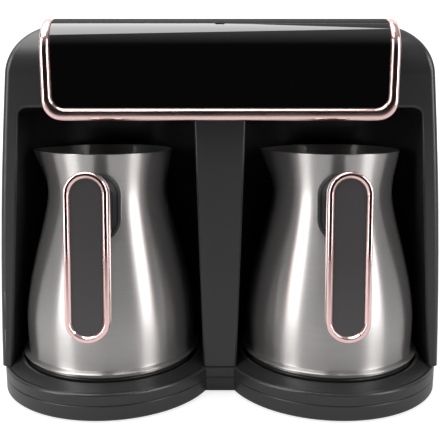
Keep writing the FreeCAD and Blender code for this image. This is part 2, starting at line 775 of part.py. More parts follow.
def rear_cover():
    """The rest of the body behind the parting line, with bosses for the screws and the board."""
    shell = body_block(0.0, FACE_EDGE)
    shell = shell.cut(block(-FAR, FAR, -FAR, PARTING_Y, 0, FAR))
    cavity = body_block(WALL, 0.0).fuse(body_prism(WALL, DECK_TOP - 1, DECK_TOP + WALL + 1))
    shell = shell.cut(cavity)
    posts, holes = bosses(DECK_TOP, BOSS_TOP, base_screw_places()[3:])
    for x, z in rear_screw_places():
        posts.append(rod(BOSS_RADIUS, (x, PARTING_Y, z), (x, REAR_Y - 0.5, z)))
        holes.append(rod(PILOT_RADIUS, (x, PARTING_Y - 1, z), (x, REAR_Y, z)))
        bore = REAR_Y - REAR_BORE_DEPTH
        holes.append(rod(COUNTERBORE, (x, bore, z), (x, REAR_Y + 1, z)))
    for x, z in power_board_corners():
        face = REAR_Y - WALL - POWER_STANDOFF
        posts.append(rod(STANDOFF_RADIUS, (x, face, z), (x, REAR_Y - WALL + 0.5, z)))
    shell = shell.fuse([post.common(body_block(0.5, 0.0)) for post in posts]).cut(holes)
    for step in range(VENT_COUNT):
        x = VENT_PITCH * (step - (VENT_COUNT - 1) / 2)
        z = POWER_HIGH + VENT_ABOVE_BOARD
        shell = shell.cut(
            block(
                x - VENT_WIDTH / 2, x + VENT_WIDTH / 2, REAR_Y - WALL - 1, REAR_Y + 1,
                z, z + VENT_HEIGHT,
            )
        )
    return shell.cut(
        rod(GLAND_RADIUS, (GLAND_X, REAR_Y - WALL - 1, GLAND_Z), (GLAND_X, REAR_Y + 1, GLAND_Z))
    )


def rear_screws():
    screws = []
    for x, z in rear_screw_places():
        seat = REAR_Y - REAR_BORE_DEPTH
        head = rod(SMALL_HEAD_RADIUS, (x, seat, z), (x, seat + REAR_HEAD_THICK, z))
        shank = rod(PILOT_RADIUS, (x, PARTING_Y - SMALL_SCREW_GRIP, z), (x, seat, z))
        screws.append(fuse([head, shank]))
    return screws


def cord_gland():
    """A bushing in the rear wall, bored for the cord."""
    body = fuse(
        [
            rod(
                GLAND_RADIUS,
                (GLAND_X, REAR_Y - WALL - GLAND_INSIDE, GLAND_Z),
                (GLAND_X, REAR_Y, GLAND_Z),
            ),
            rod(
                GLAND_FLANGE,
                (GLAND_X, REAR_Y, GLAND_Z),
                (GLAND_X, REAR_Y + GLAND_PROUD, GLAND_Z),
            ),
            rod(
                GLAND_FLANGE,
                (GLAND_X, REAR_Y - WALL - GLAND_INNER_FLANGE, GLAND_Z),
                (GLAND_X, REAR_Y - WALL, GLAND_Z),
            ),
        ]
    )
    bore = rod(GLAND_BORE, (GLAND_X, PARTING_Y, GLAND_Z), (GLAND_X, REAR_Y + WALL + 1, GLAND_Z))
    return body.cut(bore)


def power_board_corners():
    inner = POWER_WIDTH / 2 - POWER_CORNER
    heights = (POWER_LOW + POWER_CORNER, POWER_HIGH - POWER_CORNER)
    return [(x, z) for x in (-inner, inner) for z in heights]


def power_board():
    """The board on the rear wall with its relays, capacitor and transformer."""
    back = REAR_Y - WALL - POWER_STANDOFF
    front = back - BOARD_THICK
    half = POWER_WIDTH / 2
    board = block(-half, half, front, back, POWER_LOW, POWER_HIGH)
    parts = [board]
    for _, side in SIDES:
        x0 = side * RELAY_X - RELAY_WIDTH / 2
        x1 = x0 + RELAY_WIDTH
        parts.append(block(x0, x1, front - RELAY_DEPTH, front, RELAY_LOW, RELAY_HIGH))
    half = TRANSFORMER_WIDTH / 2
    parts.append(
        block(-half, half, front - TRANSFORMER_DEPTH, front, TRANSFORMER_LOW, TRANSFORMER_HIGH)
    )
    foot = (CAPACITOR_X, front, CAPACITOR_Z)
    parts.append(rod(CAPACITOR_RADIUS, foot, (CAPACITOR_X, front - CAPACITOR_DEPTH, CAPACITOR_Z)))
    return fuse(parts)


# Head
def head_prism(depth, half_width_x, low, corner=0.0):
    """The head as a solid, its front set back by depth, its top by less under the trim."""
    front = HEAD_Y + depth
    top = TOP_Z - max(0.0, depth - TRIM_PROUD + TRIM_PROUD_AT_TOP)
    solid = block(-half_width_x, half_width_x, front, PARTING_Y, low, top)
    bend = edges_where(
        solid,
        lambda e: lies_along(e, ACROSS)
        and abs(e.CenterOfMass.z - top) < 1e-6
        and abs(e.CenterOfMass.y - front) < 1e-6,
    )
    solid = rounded(solid, HEAD_BEND - depth, bend)
    if corner:
        low_edges = edges_where(
            solid,
            lambda e: lies_along(e, BACKWARD) and abs(e.CenterOfMass.z - low) < 1e-6,
        )
        solid = rounded(solid, corner, low_edges)
    return solid


def at_seam(half_space):
    """Puts a block made about the origin at the seam in the bend, tilted with it."""
    half_space.rotate(V(0, 0, 0), ACROSS, 90.0 - PANEL_SEAM_ANGLE)
    half_space.translate(V(0, HEAD_Y + HEAD_BEND, TOP_Z - HEAD_BEND))
    return half_space


def in_front_of_seam(gap=0.0):
    """Everything on the panel's side of the seam."""
    return at_seam(block(-FAR, FAR, -FAR, -gap, -FAR, FAR))


def behind_seam():
    """Everything on the top cover's side of the seam."""
    return at_seam(block(-FAR, FAR, SEAM, FAR, 0, FAR)).fuse(
        block(-FAR, FAR, HEAD_Y + HEAD_BEND, FAR, TOP_Z - HEAD_BEND, FAR)
    )


def head_window(fit=0.0):
    """The opening of the trim, seen from the front, as a long block."""
    half = PANEL_HALF_WIDTH - fit
    window = block(-half, half, -FAR, FAR, PANEL_BOTTOM_Z + fit, FAR)
    low_edges = edges_where(
        window,
        lambda e: lies_along(e, BACKWARD) and e.CenterOfMass.z < PANEL_BOTTOM_Z + 1,
    )
    return rounded(window, TRIM_CORNER - fit, low_edges)


def head_skin(outer, inner):
    """The layer of the head between two depths."""
    solid = head_prism(outer, HEAD_HALF_WIDTH, HEAD_BOTTOM_Z, HEAD_CORNER)
    return solid.cut(head_prism(inner, FAR, -FAR))


def panel_trim():
    """The plated frame, rounded on its outside and bevelled towards the panel."""
    solid = head_prism(0.0, HEAD_HALF_WIDTH, HEAD_BOTTOM_Z, HEAD_CORNER)
    solid = rounded(solid, TRIM_ROUND, edges_where(solid, is_head_outer_edge))
    trim = solid.cut(head_prism(SKIN_DEPTH, FAR, -FAR)).cut(head_window())
    return trim.makeChamfer(TRIM_PROUD * 0.9, edges_where(trim, is_trim_inner_edge))


def is_head_outer_edge(edge):
    """The line round the front of the head, up its sides and back along its top."""
    box = edge.BoundBox
    if box.YLength < 1e-3:
        across_bend = lies_along(edge, ACROSS) and box.ZMin > HEAD_BOTTOM_Z + 1
        return abs(box.YMax - HEAD_Y) < 1e-3 and not across_bend
    return box.XLength < 1e-3 and box.ZMin > TOP_Z - HEAD_BEND - 1e-3


def is_trim_inner_edge(edge):
    """The front edges of the trim next to the panel."""
    box = edge.BoundBox
    if abs(box.YMax - HEAD_Y) > 1e-3 or box.YMax - box.YMin > 1e-3:
        return False
    middle = edge.CenterOfMass
    return abs(middle.x) < PANEL_HALF_WIDTH + 0.01 and middle.z > PANEL_BOTTOM_Z - 0.01


def front_panel():
    """The black panel, plain, up to the seam, with a small notch at the middle."""
    skin = head_skin(TRIM_PROUD, SKIN_DEPTH).common(head_window(PANEL_FIT))
    panel = skin.common(in_front_of_seam())
    notch = block(
        -NOTCH_WIDTH / 2, NOTCH_WIDTH / 2, -FAR, FAR, -FAR, FAR
    ).cut(in_front_of_seam(NOTCH_DEPTH))
    return panel.cut(notch)


def button_places():
    return [(name, side * BUTTON_X) for name, side in SIDES]


def top_cover():
    """The cover behind the seam, with button holes and the bosses of the board."""
    skin = head_skin(TRIM_PROUD, SKIN_DEPTH).common(head_window(PANEL_FIT))
    cover = skin.common(behind_seam())
    for x, y in board_corners():
        cover = cover.fuse(disc(BOARD_BOSS_RADIUS, BOARD_TOP, COVER_UNDER + 0.5, x, y))
    for _, x in button_places():
        hole = disc(BUTTON_RADIUS + BUTTON_GAP, COVER_UNDER - 1, TOP_Z + 1, x, BUTTON_Y)
        cover = cover.cut(hole)
    return cover


def head_carrier():
    """The frame of the head: underside, sides and the ledge that bears the trim and panel."""
    outer = head_prism(SKIN_DEPTH, HEAD_HALF_WIDTH, HEAD_BOTTOM_Z, HEAD_CORNER)
    outer = outer.cut(block(-FAR, FAR, FACE_Y, FAR, 0, CEILING_TOP))
    inner_x = HEAD_HALF_WIDTH - WALL
    depth = SKIN_DEPTH + WALL
    upper = head_prism(depth, inner_x, CEILING_TOP + WALL)
    lower = head_prism(depth, inner_x, HEAD_BOTTOM_Z + WALL, HEAD_CORNER - WALL)
    lower = lower.cut(block(-FAR, FAR, FACE_Y - WALL, FAR, 0, FAR))
    carrier = outer.cut([upper, lower])
    half = PANEL_HALF_WIDTH - CARRIER_MARGIN
    window = block(
        -half, half, -FAR, FACE_Y, PANEL_BOTTOM_Z + CARRIER_MARGIN, TOP_Z - HEAD_BEND
    )
    hatch = block(-half, half, FACE_Y, PARTING_Y - CARRIER_MARGIN, TOP_Z - 30, FAR)
    carrier = carrier.cut([window, hatch])
    for _, side in SIDES:
        ring = WINDOW_RADIUS + WINDOW_FLANGE + WINDOW_FIT
        x = side * HALF_PITCH
        carrier = carrier.cut(disc(ring, CEILING_TOP - 1, CEILING_TOP + WALL + 1, x))
    return carrier.cut(wire_slot())


def sensor_window(x):
    """A flanged window in the ceiling of the bay."""
    glass = disc(WINDOW_RADIUS, BAY_TOP_Z - WINDOW_DROP, CEILING_TOP, x)
    flange = disc(
        WINDOW_RADIUS + WINDOW_FLANGE, CEILING_TOP, CEILING_TOP + WINDOW_FLANGE_THICK, x
    )
    return fuse([glass, flange])


def foam_sensor(x):
    low = CEILING_TOP + WINDOW_FLANGE_THICK
    return disc(WINDOW_RADIUS + 1, low, low + SENSOR_BOX, x)


def board_corners():
    inner = BOARD_HALF_WIDTH - BOARD_BOSS_INSET
    return [
        (x, y)
        for x in (-inner, 0.0, inner)
        for y in (BOARD_FRONT + BOARD_BOSS_INSET, BOARD_BACK - BOARD_BOSS_INSET)
    ]


def control_board():
    """The board that hangs under the top cover, with its plug."""
    low = BOARD_TOP - BOARD_THICK
    board = block(
        -BOARD_HALF_WIDTH, BOARD_HALF_WIDTH, BOARD_FRONT, BOARD_BACK, low, BOARD_TOP
    )
    under = [
        block(x0, x1, BUTTON_Y + y0, BUTTON_Y + y1, low - height, low)
        for x0, x1, y0, y1, height in (BOARD_PLUG, BOARD_CHIP)
    ]
    return fuse([board, *under])


def button(x):
    """A round cap with a flange under the cover and a pin on the dome."""
    top = COVER_TOP + BUTTON_PROUD
    flange_top = COVER_UNDER - BUTTON_SLACK
    flange_low = flange_top - BUTTON_FLANGE_THICK
    cap = disc(BUTTON_RADIUS, flange_low, top, x, BUTTON_Y)
    rim = edges_where(cap, lambda e: e.BoundBox.ZMin > top - 1e-3)
    cap = cap.makeFillet(BUTTON_ROUND, rim)
    flange = disc(
        BUTTON_RADIUS + BUTTON_GAP + BUTTON_FLANGE, flange_low, flange_top, x, BUTTON_Y
    )
    pin = disc(BUTTON_PIN, BOARD_TOP + DOME_HEIGHT, flange_low, x, BUTTON_Y)
    dish_z = top + BUTTON_DISH_RADIUS - BUTTON_DISH_DEPTH
    dish = Part.makeSphere(BUTTON_DISH_RADIUS, V(x, BUTTON_Y, dish_z))
    return fuse([cap, flange, pin]).cut(dish)


def button_dome(x):
    """The silicone dome between the board and the pin, hollow."""
    top_radius = BUTTON_PIN + DOME_TOP_SPARE
    base = V(x, BUTTON_Y, BOARD_TOP)
    outer = Part.makeCone(DOME_RADIUS, top_radius, DOME_HEIGHT, base, UPWARD)
    inner = Part.makeCone(
        DOME_RADIUS - DOME_WALL, top_radius - DOME_WALL, DOME_HEIGHT - DOME_WALL, base, UPWARD
    )
    return outer.cut(inner)


# Pots, made upright at the origin with the handle to the front
def pot_profile(grow, z_low):
    """Closed outline of the pot's body at y = 0, its side moved out by grow."""
    points = [V(POT_FOOT_RADIUS + grow, 0, z_low)]
    points += [V(radius + grow, 0, z) for radius, z in POT_BELLY]
    points += [V(POT_NECK[0] + grow, 0, POT_NECK[1]), V(POT_RIM_RADIUS + grow, 0, POT_HEIGHT)]
    curve = Part.BSplineCurve()
    curve.interpolate(points)
    low, high = points[0], points[-1]
    edges = [
        curve.toShape(),
        Part.LineSegment(high, V(0, 0, high.z)).toShape(),
        Part.LineSegment(V(0, 0, high.z), V(0, 0, low.z)).toShape(),
        Part.LineSegment(V(0, 0, low.z), low).toShape(),
    ]
    return Part.Face(Part.Wire(edges))


def pot_solid(grow, z_low):
    return pot_profile(grow, z_low).revolve(V(0, 0, 0), UPWARD, 360.0)


def spout_solid(grow):
    """A tapering trough on the left of the rim."""
    rings = []
    for z, radius, reach in (
        (POT_HEIGHT - SPOUT_DROP, SPOUT_ROOT_RADIUS, POT_NECK[0] + SPOUT_ROOT_PROUD),
        (POT_HEIGHT, SPOUT_RADIUS, SPOUT_REACH),
    ):
        centre = V(-(reach - radius), 0, z)
        rings.append(Part.Wire(Part.makeCircle(radius + grow, centre, UPWARD)))
    return Part.makeLoft(rings, True, True)


def pot_shell():
    """The steel body with its bead and spout."""
    low = POT_BASE_THICK
    outer = pot_solid(0.0, low).fuse(spout_solid(0.0))
    bead = disc(POT_BEAD_RADIUS, low, low + POT_BEAD_HEIGHT, 0, 0)
    rims = edges_where(bead, lambda e: e.BoundBox.ZLength < 1e-6)
    bead = bead.makeFillet(POT_BEAD_HEIGHT * 0.45, rims)
    outer = outer.fuse(bead)
    inner = pot_solid(-POT_WALL, low).cut(disc(FAR, low - 1, low + POT_WALL, 0, 0))
    inner = inner.fuse(spout_solid(-POT_WALL))
    return outer.cut(inner).removeSplitter()


def pot_base():
    base = disc(POT_BASE_RADIUS, 0, POT_BASE_THICK, 0, 0)
    low = edges_where(base, lambda e: e.BoundBox.ZMax < 1e-3)
    return base.makeFillet(POT_BASE_ROUND, low)


def pill(radius, length, y0, y1):
    """A slab with round ends whose upper end is at z = 0, hanging down."""
    prism = block(-radius, radius, y0, y1, -length, 0)
    return upright_ends(prism, radius)


def upright_ends(prism, radius):
    ends = edges_where(prism, lambda e: lies_along(e, BACKWARD))
    return prism.makeFillet(radius * 0.999, ends)


def onto_pot(shape):
    """From the frame of the grip to the frame of the pot."""
    shape = shape.copy()
    shape.rotate(V(0, 0, 0), ACROSS, -GRIP_LEAN)
    shape.translate(V(0, -GRIP_TOP_OUT, GRIP_TOP_Z))
    return shape


def grip_trim():
    """The plated frame of the grip, rounded outside and bevelled towards the insert."""
    inner = pill(GRIP_RADIUS - GRIP_TRIM_WIDTH, GRIP_LENGTH - 2 * GRIP_TRIM_WIDTH, -1, 9)
    inner.translate(V(0, 0, -GRIP_TRIM_WIDTH))
    outer = pill(GRIP_RADIUS, GRIP_LENGTH, 0, GRIP_TRIM_DEPTH)
    front = edges_where(outer, lambda e: e.BoundBox.YMax < 1e-3)
    outer = outer.makeFillet(GRIP_TRIM_ROUND, front)
    trim = outer.cut(inner)
    reach = GRIP_RADIUS - GRIP_TRIM_WIDTH + 0.01
    inner_front = edges_where(
        trim,
        lambda e: e.BoundBox.YMax < 1e-3
        and max(abs(e.BoundBox.XMax), abs(e.BoundBox.XMin)) < reach,
    )
    return trim.makeChamfer(GRIP_TRIM_BEVEL, inner_front)


def grip_insert():
    front = GRIP_INSERT_SINK
    insert = pill(
        GRIP_RADIUS - GRIP_TRIM_WIDTH,
        GRIP_LENGTH - 2 * GRIP_TRIM_WIDTH,
        front,
        front + GRIP_INSERT_THICK,
    )
    insert.translate(V(0, 0, -GRIP_TRIM_WIDTH))
    return insert


def bracket_envelope(grow):
    """A layer over the pot's body, as deep as the bracket is thick."""
    return pot_solid(grow, POT_BASE_THICK)


def handle_screw_axis(y0, y1, radius):
    return rod(radius, (0, y0, -SCREW_DOWN), (0, y1, -SCREW_DOWN))


def bracket_outline(inset):
    """The saddle's round-ended outline, drawn in by inset, as a prism through the front."""
    radius = BRACKET_RADIUS - inset
    outline = block(-radius, radius, -FAR, 0, BRACKET_LOW + inset, BRACKET_HIGH - inset)
    return upright_ends(outline, radius)


def screw_boss_start():
    """How far behind the face of the grip the threaded boss of the saddle begins."""
    return GRIP_TOP_OUT - POT_NECK[0] - BRACKET_THICK - NUT_LENGTH


def handle_bracket():
    """A saddle that follows the pot, with a raised rim and a threaded boss."""
    saddle = bracket_envelope(BRACKET_THICK).common(bracket_outline(0.0))
    recess = bracket_outline(BRACKET_RIM).cut(bracket_envelope(BRACKET_THICK - BRACKET_RECESS))
    saddle = saddle.cut(recess)
    boss_start = screw_boss_start()
    boss_end = boss_start + NUT_LENGTH + NUT_OVERLAP
    boss = onto_pot(handle_screw_axis(boss_start, boss_end, NUT_RADIUS))
    hole = onto_pot(handle_screw_axis(boss_start - 1, boss_start + NUT_LENGTH - 1, SCREW_RADIUS))
    bracket = saddle.fuse(boss).cut(bracket_envelope(0.0)).cut(hole)
    return bracket.removeSplitter()


def handle_grip():
    """The core of the grip, and the arm from it to the bracket."""
    seat = pill(
        GRIP_RADIUS - GRIP_TRIM_WIDTH,
        GRIP_LENGTH - 2 * GRIP_TRIM_WIDTH,
        GRIP_INSERT_SINK + GRIP_INSERT_THICK,
        GRIP_TRIM_DEPTH + 1,
    )
    seat.translate(V(0, 0, -GRIP_TRIM_WIDTH))
    core = pill(
        GRIP_RADIUS - GRIP_CORE_INSET,
        GRIP_LENGTH - 2 * GRIP_CORE_INSET,
        GRIP_TRIM_DEPTH,
        GRIP_TRIM_DEPTH + GRIP_CORE_DEPTH,
    )
    back = edges_where(core, lambda e: e.BoundBox.YMin > GRIP_TRIM_DEPTH + GRIP_CORE_DEPTH - 1e-3)
    core = core.makeFillet(GRIP_CORE_ROUND, back)
    core.translate(V(0, 0, -GRIP_CORE_INSET))
    arm = block(
        -ARM_HALF_WIDTH,
        ARM_HALF_WIDTH,
        GRIP_TRIM_DEPTH + 1,
        GRIP_TOP_OUT,
        ARM_LOW - GRIP_TOP_Z,
        ARM_HIGH - GRIP_TOP_Z,
    )
    arm = arm.makeFillet(ARM_ROUND, edges_where(arm, lambda e: lies_along(e, BACKWARD)))
    grip = onto_pot(fuse([seat, core, arm]))
    grip = grip.cut(bracket_envelope(BRACKET_THICK - BRACKET_RECESS))
    boss_start = screw_boss_start()
    head_low = GRIP_INSERT_SINK + GRIP_INSERT_THICK
    for y0, y1, radius in (
        (boss_start - NUT_END_GAP, FAR, NUT_RADIUS),
        (0, FAR, SCREW_RADIUS),
        (0, head_low + SCREW_HEAD_THICK, SCREW_HEAD_RADIUS),
    ):
        grip = grip.cut(onto_pot(handle_screw_axis(y0, min(y1, GRIP_TOP_OUT), radius)))
    return max(grip.Solids, key=lambda s: s.Volume)


def handle_screw():
    head_low = GRIP_INSERT_SINK + GRIP_INSERT_THICK
    head = handle_screw_axis(head_low, head_low + SCREW_HEAD_THICK, SCREW_HEAD_RADIUS)
    tip = screw_boss_start() + NUT_LENGTH - THREAD_SPARE
    shank = handle_screw_axis(head_low, tip, SCREW_RADIUS)
    return onto_pot(fuse([head, shank]))


def pot_pieces():
    return {
        "pot_shell": pot_shell(),
        "pot_base": pot_base(),
        "handle_bracket": handle_bracket(),
        "handle_grip": handle_grip(),
        "handle_trim": onto_pot(grip_trim()),
        "handle_insert": onto_pot(grip_insert()),
        "handle_screw": handle_screw(),
    }


def stand_pot(shape, side, turn):
    """Turns a piece of a pot and stands it on its hot plate."""
    shape = shape.copy()
    shape.rotate(V(0, 0, 0), UPWARD, turn)
    shape.translate(V(side * HALF_PITCH, AXIS_Y, PLATE_TOP))
    return shape


def export(name, shape):
    solids = shape if isinstance(shape, list) else [shape]
    solids = [s for shape in solids for s in shape.Solids]
    for solid in solids:
        if not solid.isValid():
            print("not valid:", name)
    whole = solids[0] if len(solids) == 1 else Part.makeCompound(solids)
    whole.exportStep(os.path.join("parts", name + ".step"))
    print(name, len(solids), round(sum(s.Volume for s in solids) / 1000, 2), "cm3")


def main():
    os.makedirs("parts", exist_ok=True)
    export("base_tray", base_tray())
    export("base_deck", base_deck())
    export("rubber_feet", rubber_feet())
    export("base_screws", base_screws())
    for name, side in SIDES:
        x = side * HALF_PITCH
        export(name + "_heating_plate", heating_plate(x))
        export(name + "_heating_element", heating_element(x))
        export(name + "_plate_seal", plate_seal(x))
        export(name + "_thermostat", thermostat(x))
        export(name + "_plate_sensor", plate_sensor(x))
        export(name + "_sensor_holder", sensor_holder(x))
        export(name + "_sensor_spring", sensor_spring(x))
    export("front_housing", front_housing())
    export("rear_cover", rear_cover())
    export("rear_screws", rear_screws())
    export("cord_gland", cord_gland())
    export("power_board", power_board())
    export("head_carrier", head_carrier())
    export("panel_trim", panel_trim())
    export("front_panel", front_panel())
    export("top_cover", top_cover())
    export("control_board", control_board())
    for name, side in SIDES:
        export(name + "_sensor_window", sensor_window(side * HALF_PITCH))
        export(name + "_foam_sensor", foam_sensor(side * HALF_PITCH))
    for name, x in button_places():
        export(name + "_button", button(x))
        export(name + "_button_dome", button_dome(x))
    turns = {"left": LEFT_POT_TURN, "right": RIGHT_POT_TURN}
    pieces = pot_pieces()
    for name, side in SIDES:
        for piece, shape in pieces.items():
            export(name + "_" + piece, stand_pot(shape, side, turns[name]))


main()
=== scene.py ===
# %% [markdown]
# # A twin electric coffee maker
#
# The machine has two steel pots on hot plates, in two bays under one head. The measured
# model gives every piece its size and place. This lesson finishes it: it paints each
# piece, remodels the few whose fine shape shows, and lights the whole like a product shot.

# %% Load the measured model
import math

import bpy
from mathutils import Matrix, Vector


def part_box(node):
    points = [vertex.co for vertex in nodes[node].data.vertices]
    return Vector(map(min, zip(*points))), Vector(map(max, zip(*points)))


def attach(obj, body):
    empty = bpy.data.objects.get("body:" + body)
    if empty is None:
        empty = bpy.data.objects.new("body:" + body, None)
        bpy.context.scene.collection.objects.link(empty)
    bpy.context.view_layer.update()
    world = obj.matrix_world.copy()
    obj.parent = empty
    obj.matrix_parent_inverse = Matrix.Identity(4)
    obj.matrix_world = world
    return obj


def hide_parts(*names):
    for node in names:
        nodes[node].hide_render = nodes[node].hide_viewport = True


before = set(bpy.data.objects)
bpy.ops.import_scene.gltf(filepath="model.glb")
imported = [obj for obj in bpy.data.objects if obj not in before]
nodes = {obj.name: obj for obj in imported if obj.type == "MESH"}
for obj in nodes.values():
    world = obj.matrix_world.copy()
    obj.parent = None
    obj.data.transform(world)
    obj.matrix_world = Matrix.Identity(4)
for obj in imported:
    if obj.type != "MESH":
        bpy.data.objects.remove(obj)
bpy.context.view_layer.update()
print("pieces in the model:", len(nodes))

# %% [markdown]
# ## Where the pots stand
#
# Each pot turns about the middle of its hot plate, so the middle of each plate's upper
# face is measured once and used by everything that follows.

# %% Measure the places that the looks depend on
MM = 0.001
SIDES = {"left": -1, "right": 1}


def plate_middle(side):
    low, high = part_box(f"{side}_heating_plate")
    return Vector(((low.x + high.x) / 2, (low.y + high.y) / 2, high.z))


pot_places = {side: plate_middle(side) for side in SIDES}
print({side: tuple(round(v / MM, 1) for v in place) for side, place in pot_places.items()})

# %% [markdown]
# ## Tools for painting
#
# Every finish is a small node graph. A new material starts with a Principled shader, and
# the helpers add the nodes that vary it. All patterns read Object coordinates, which are
# in metres here, so their grain has a real size.


# %% Helpers that start a finish
def new_finish(name, colour, roughness, metallic=0.0):
    finish = bpy.data.materials.new(name)
    finish.use_nodes = True
    shader = finish.node_tree.nodes["Principled BSDF"]
    shader.inputs["Base Color"].default_value = (*colour, 1.0)
    shader.inputs["Roughness"].default_value = roughness
    shader.inputs["Metallic"].default_value = metallic
    return finish, finish.node_tree, shader


def add_node(tree, kind, **settings):
    node = tree.nodes.new(kind)
    for key, value in settings.items():
        setattr(node, key, value)
    return node


def maths(tree, operation, *values):
    """The output of a Math node. Each value is a number or another node's output."""
    node = add_node(tree, "ShaderNodeMath", operation=operation)
    for socket, value in zip(node.inputs, values):
        if isinstance(value, float):
            socket.default_value = value
        else:
            tree.links.new(value, socket)
    return node.outputs[0]


print("tools that start a finish are ready")


# %% Helpers that say where a point is
def object_place(tree):
    return add_node(tree, "ShaderNodeTexCoord").outputs["Object"]


def place_about(tree, centre, upward=1.0):
    """Object coordinates counted from an upright axis, their height scaled by upward."""
    shift = add_node(tree, "ShaderNodeMapping")
    shift.inputs["Location"].default_value = (-centre.x, -centre.y, 0.0)
    shift.inputs["Scale"].default_value = (1.0, 1.0, upward)
    tree.links.new(object_place(tree), shift.inputs["Vector"])
    return shift.outputs["Vector"]


def distance(tree, vector):
    node = add_node(tree, "ShaderNodeVectorMath", operation="LENGTH")
    tree.links.new(vector, node.inputs[0])
    return node.outputs["Value"]


print("tools for places are ready")

# %% [markdown]
# ## Grain, tint and relief
#
# A noise is a number between 0 and 1 that wanders from place to place. It varies the
# gloss through a ramp, the colour through a tint, and the height through a bump. A Bevel
# node also turns the shading normal over a fraction of a millimetre at each edge, because
# a moulded or polished edge always catches a thin line of light.

# %% Helpers that vary gloss, colour and height
MIX_DARK, MIX_LIGHT, MIX_COLOUR = 6, 7, 2  # the sockets of a Mix node for colours
MIX_A, MIX_B = 2, 3  # and its inputs for numbers
BEVEL_SAMPLES = 8


def noise(tree, coordinates, per_metre, detail=2.0):
    """A noise with about per_metre patches in each metre."""
    pattern = add_node(tree, "ShaderNodeTexNoise")
    pattern.inputs["Scale"].default_value = per_metre
    pattern.inputs["Detail"].default_value = detail
    tree.links.new(coordinates, pattern.inputs["Vector"])
    return pattern.outputs["Fac"]


def ramp(tree, value, low, high, start=0.35, end=0.65):
    """Low up to start, high from end on, and a straight line between them."""
    blend = add_node(tree, "ShaderNodeMapRange")
    blend.inputs["From Min"].default_value = start
    blend.inputs["From Max"].default_value = end
    blend.inputs["To Min"].default_value = low
    blend.inputs["To Max"].default_value = high
    tree.links.new(value, blend.inputs["Value"])
    return blend.outputs["Result"]


def tint(tree, value, dark, light):
    mix = add_node(tree, "ShaderNodeMix", data_type="RGBA")
    mix.inputs[MIX_DARK].default_value = (*dark, 1.0)
    mix.inputs[MIX_LIGHT].default_value = (*light, 1.0)
    tree.links.new(value, mix.inputs[0])
    return mix.outputs[MIX_COLOUR]


def relief(tree, shader, height, depth, edge=0.0):
    """Bumps up to depth high, and edges shaded round with the radius edge, in metres."""
    bump = add_node(tree, "ShaderNodeBump")
    bump.inputs["Strength"].default_value = 1.0
    bump.inputs["Distance"].default_value = depth
    tree.links.new(height, bump.inputs["Height"])
    if edge:
        bevel = add_node(tree, "ShaderNodeBevel", samples=BEVEL_SAMPLES)
        bevel.inputs["Radius"].default_value = edge
        tree.links.new(bevel.outputs["Normal"], bump.inputs["Normal"])
    tree.links.new(bump.outputs["Normal"], shader.inputs["Normal"])


print("painting tools ready")

# %% [markdown]
# ## Moulded plastic
#
# The body is a satin charcoal plastic with the fine spark-eroded grain of a mould. Its
# colour is nearly even, a shade uneven over a few centimetres, and its gloss wanders a
# little where hands rub it.

# %% A moulded plastic in any colour and gloss
CLOUDS_PER_METRE = 18.0
GLOSS_WANDER = 0.06


def moulded(name, colour, roughness, grain=0.02, grain_size=0.6, edge=0.5, specular=0.5):
    """The depth and size of the grain and the round of the edges are in millimetres."""
    finish, tree, shader = new_finish(name, colour, roughness)
    shader.inputs["Specular IOR Level"].default_value = specular
    place = object_place(tree)
    cloud = noise(tree, place, CLOUDS_PER_METRE, 3.0)
    dark = tuple(c * 0.9 for c in colour)
    light = tuple(c * 1.12 + 0.001 for c in colour)
    tree.links.new(tint(tree, cloud, dark, light), shader.inputs["Base Color"])
    gloss = ramp(tree, cloud, roughness - GLOSS_WANDER, roughness + GLOSS_WANDER, 0.0, 1.0)
    tree.links.new(gloss, shader.inputs["Roughness"])
    bumps = noise(tree, place, 1.0 / (grain_size * MM), 3.0)
    relief(tree, shader, bumps, grain * MM, edge * MM)
    return finish


print("plastic tool ready")

# %% The plastics and rubbers of the machine
body_charcoal = moulded("satin charcoal moulding", (0.021, 0.021, 0.0215), 0.3)
cover_charcoal = moulded("satin charcoal cover", (0.012, 0.012, 0.013), 0.55, specular=0.15)
inner_black = moulded("plain black moulding", (0.012, 0.012, 0.013), 0.5)
grip_black = moulded("satin black grip", (0.010, 0.010, 0.011), 0.32)
soft_grey = moulded("smooth grey inlay", (0.048, 0.045, 0.046), 0.24, 0.003, 1.2, 0.6)
bracket_grey = moulded("gloss grey saddle", (0.045, 0.045, 0.048), 0.22, 0.004, 2.0, 0.6)
button_black = moulded("satin button", (0.016, 0.016, 0.018), 0.3, 0.01, 0.5, 0.3)
foot_black = moulded("black rubber", (0.014, 0.014, 0.014), 0.7, 0.04, 0.8, 0.3)
silicone_grey = moulded("grey silicone", (0.12, 0.12, 0.12), 0.45, 0.01, 1.0, 0.3)
board_green = moulded(
    "circuit board lacquer", (0.010, 0.075, 0.030), 0.35, grain_size=1.5, edge=0.0
)
print("plastics:", len(bpy.data.materials))

# %% [markdown]
# ## Gloss panel
#
# The front panel is a deep black with a lacquer-like gloss. All of its look is reflection,
# so the colour is almost zero and the surface very smooth, with the faint long waviness
# that even a good moulding has. The windows of the foam sensors are smoked plastic, a
# little hazy from steam.


# %% The black gloss of the panel and the smoked windows
def gloss_panel():
    finish, tree, shader = new_finish("gloss black lacquer", (0.0012, 0.0012, 0.0014), 0.03)
    shader.inputs["IOR"].default_value = 1.6
    shader.inputs["Coat Weight"].default_value = 0.8
    shader.inputs["Coat Roughness"].default_value = 0.015
    place = object_place(tree)
    smear = noise(tree, place, 35.0, 4.0)
    tree.links.new(ramp(tree, smear, 0.025, 0.045), shader.inputs["Roughness"])
    relief(tree, shader, noise(tree, place, 12.0, 1.0), 0.05 * MM, 0.4 * MM)
    return finish


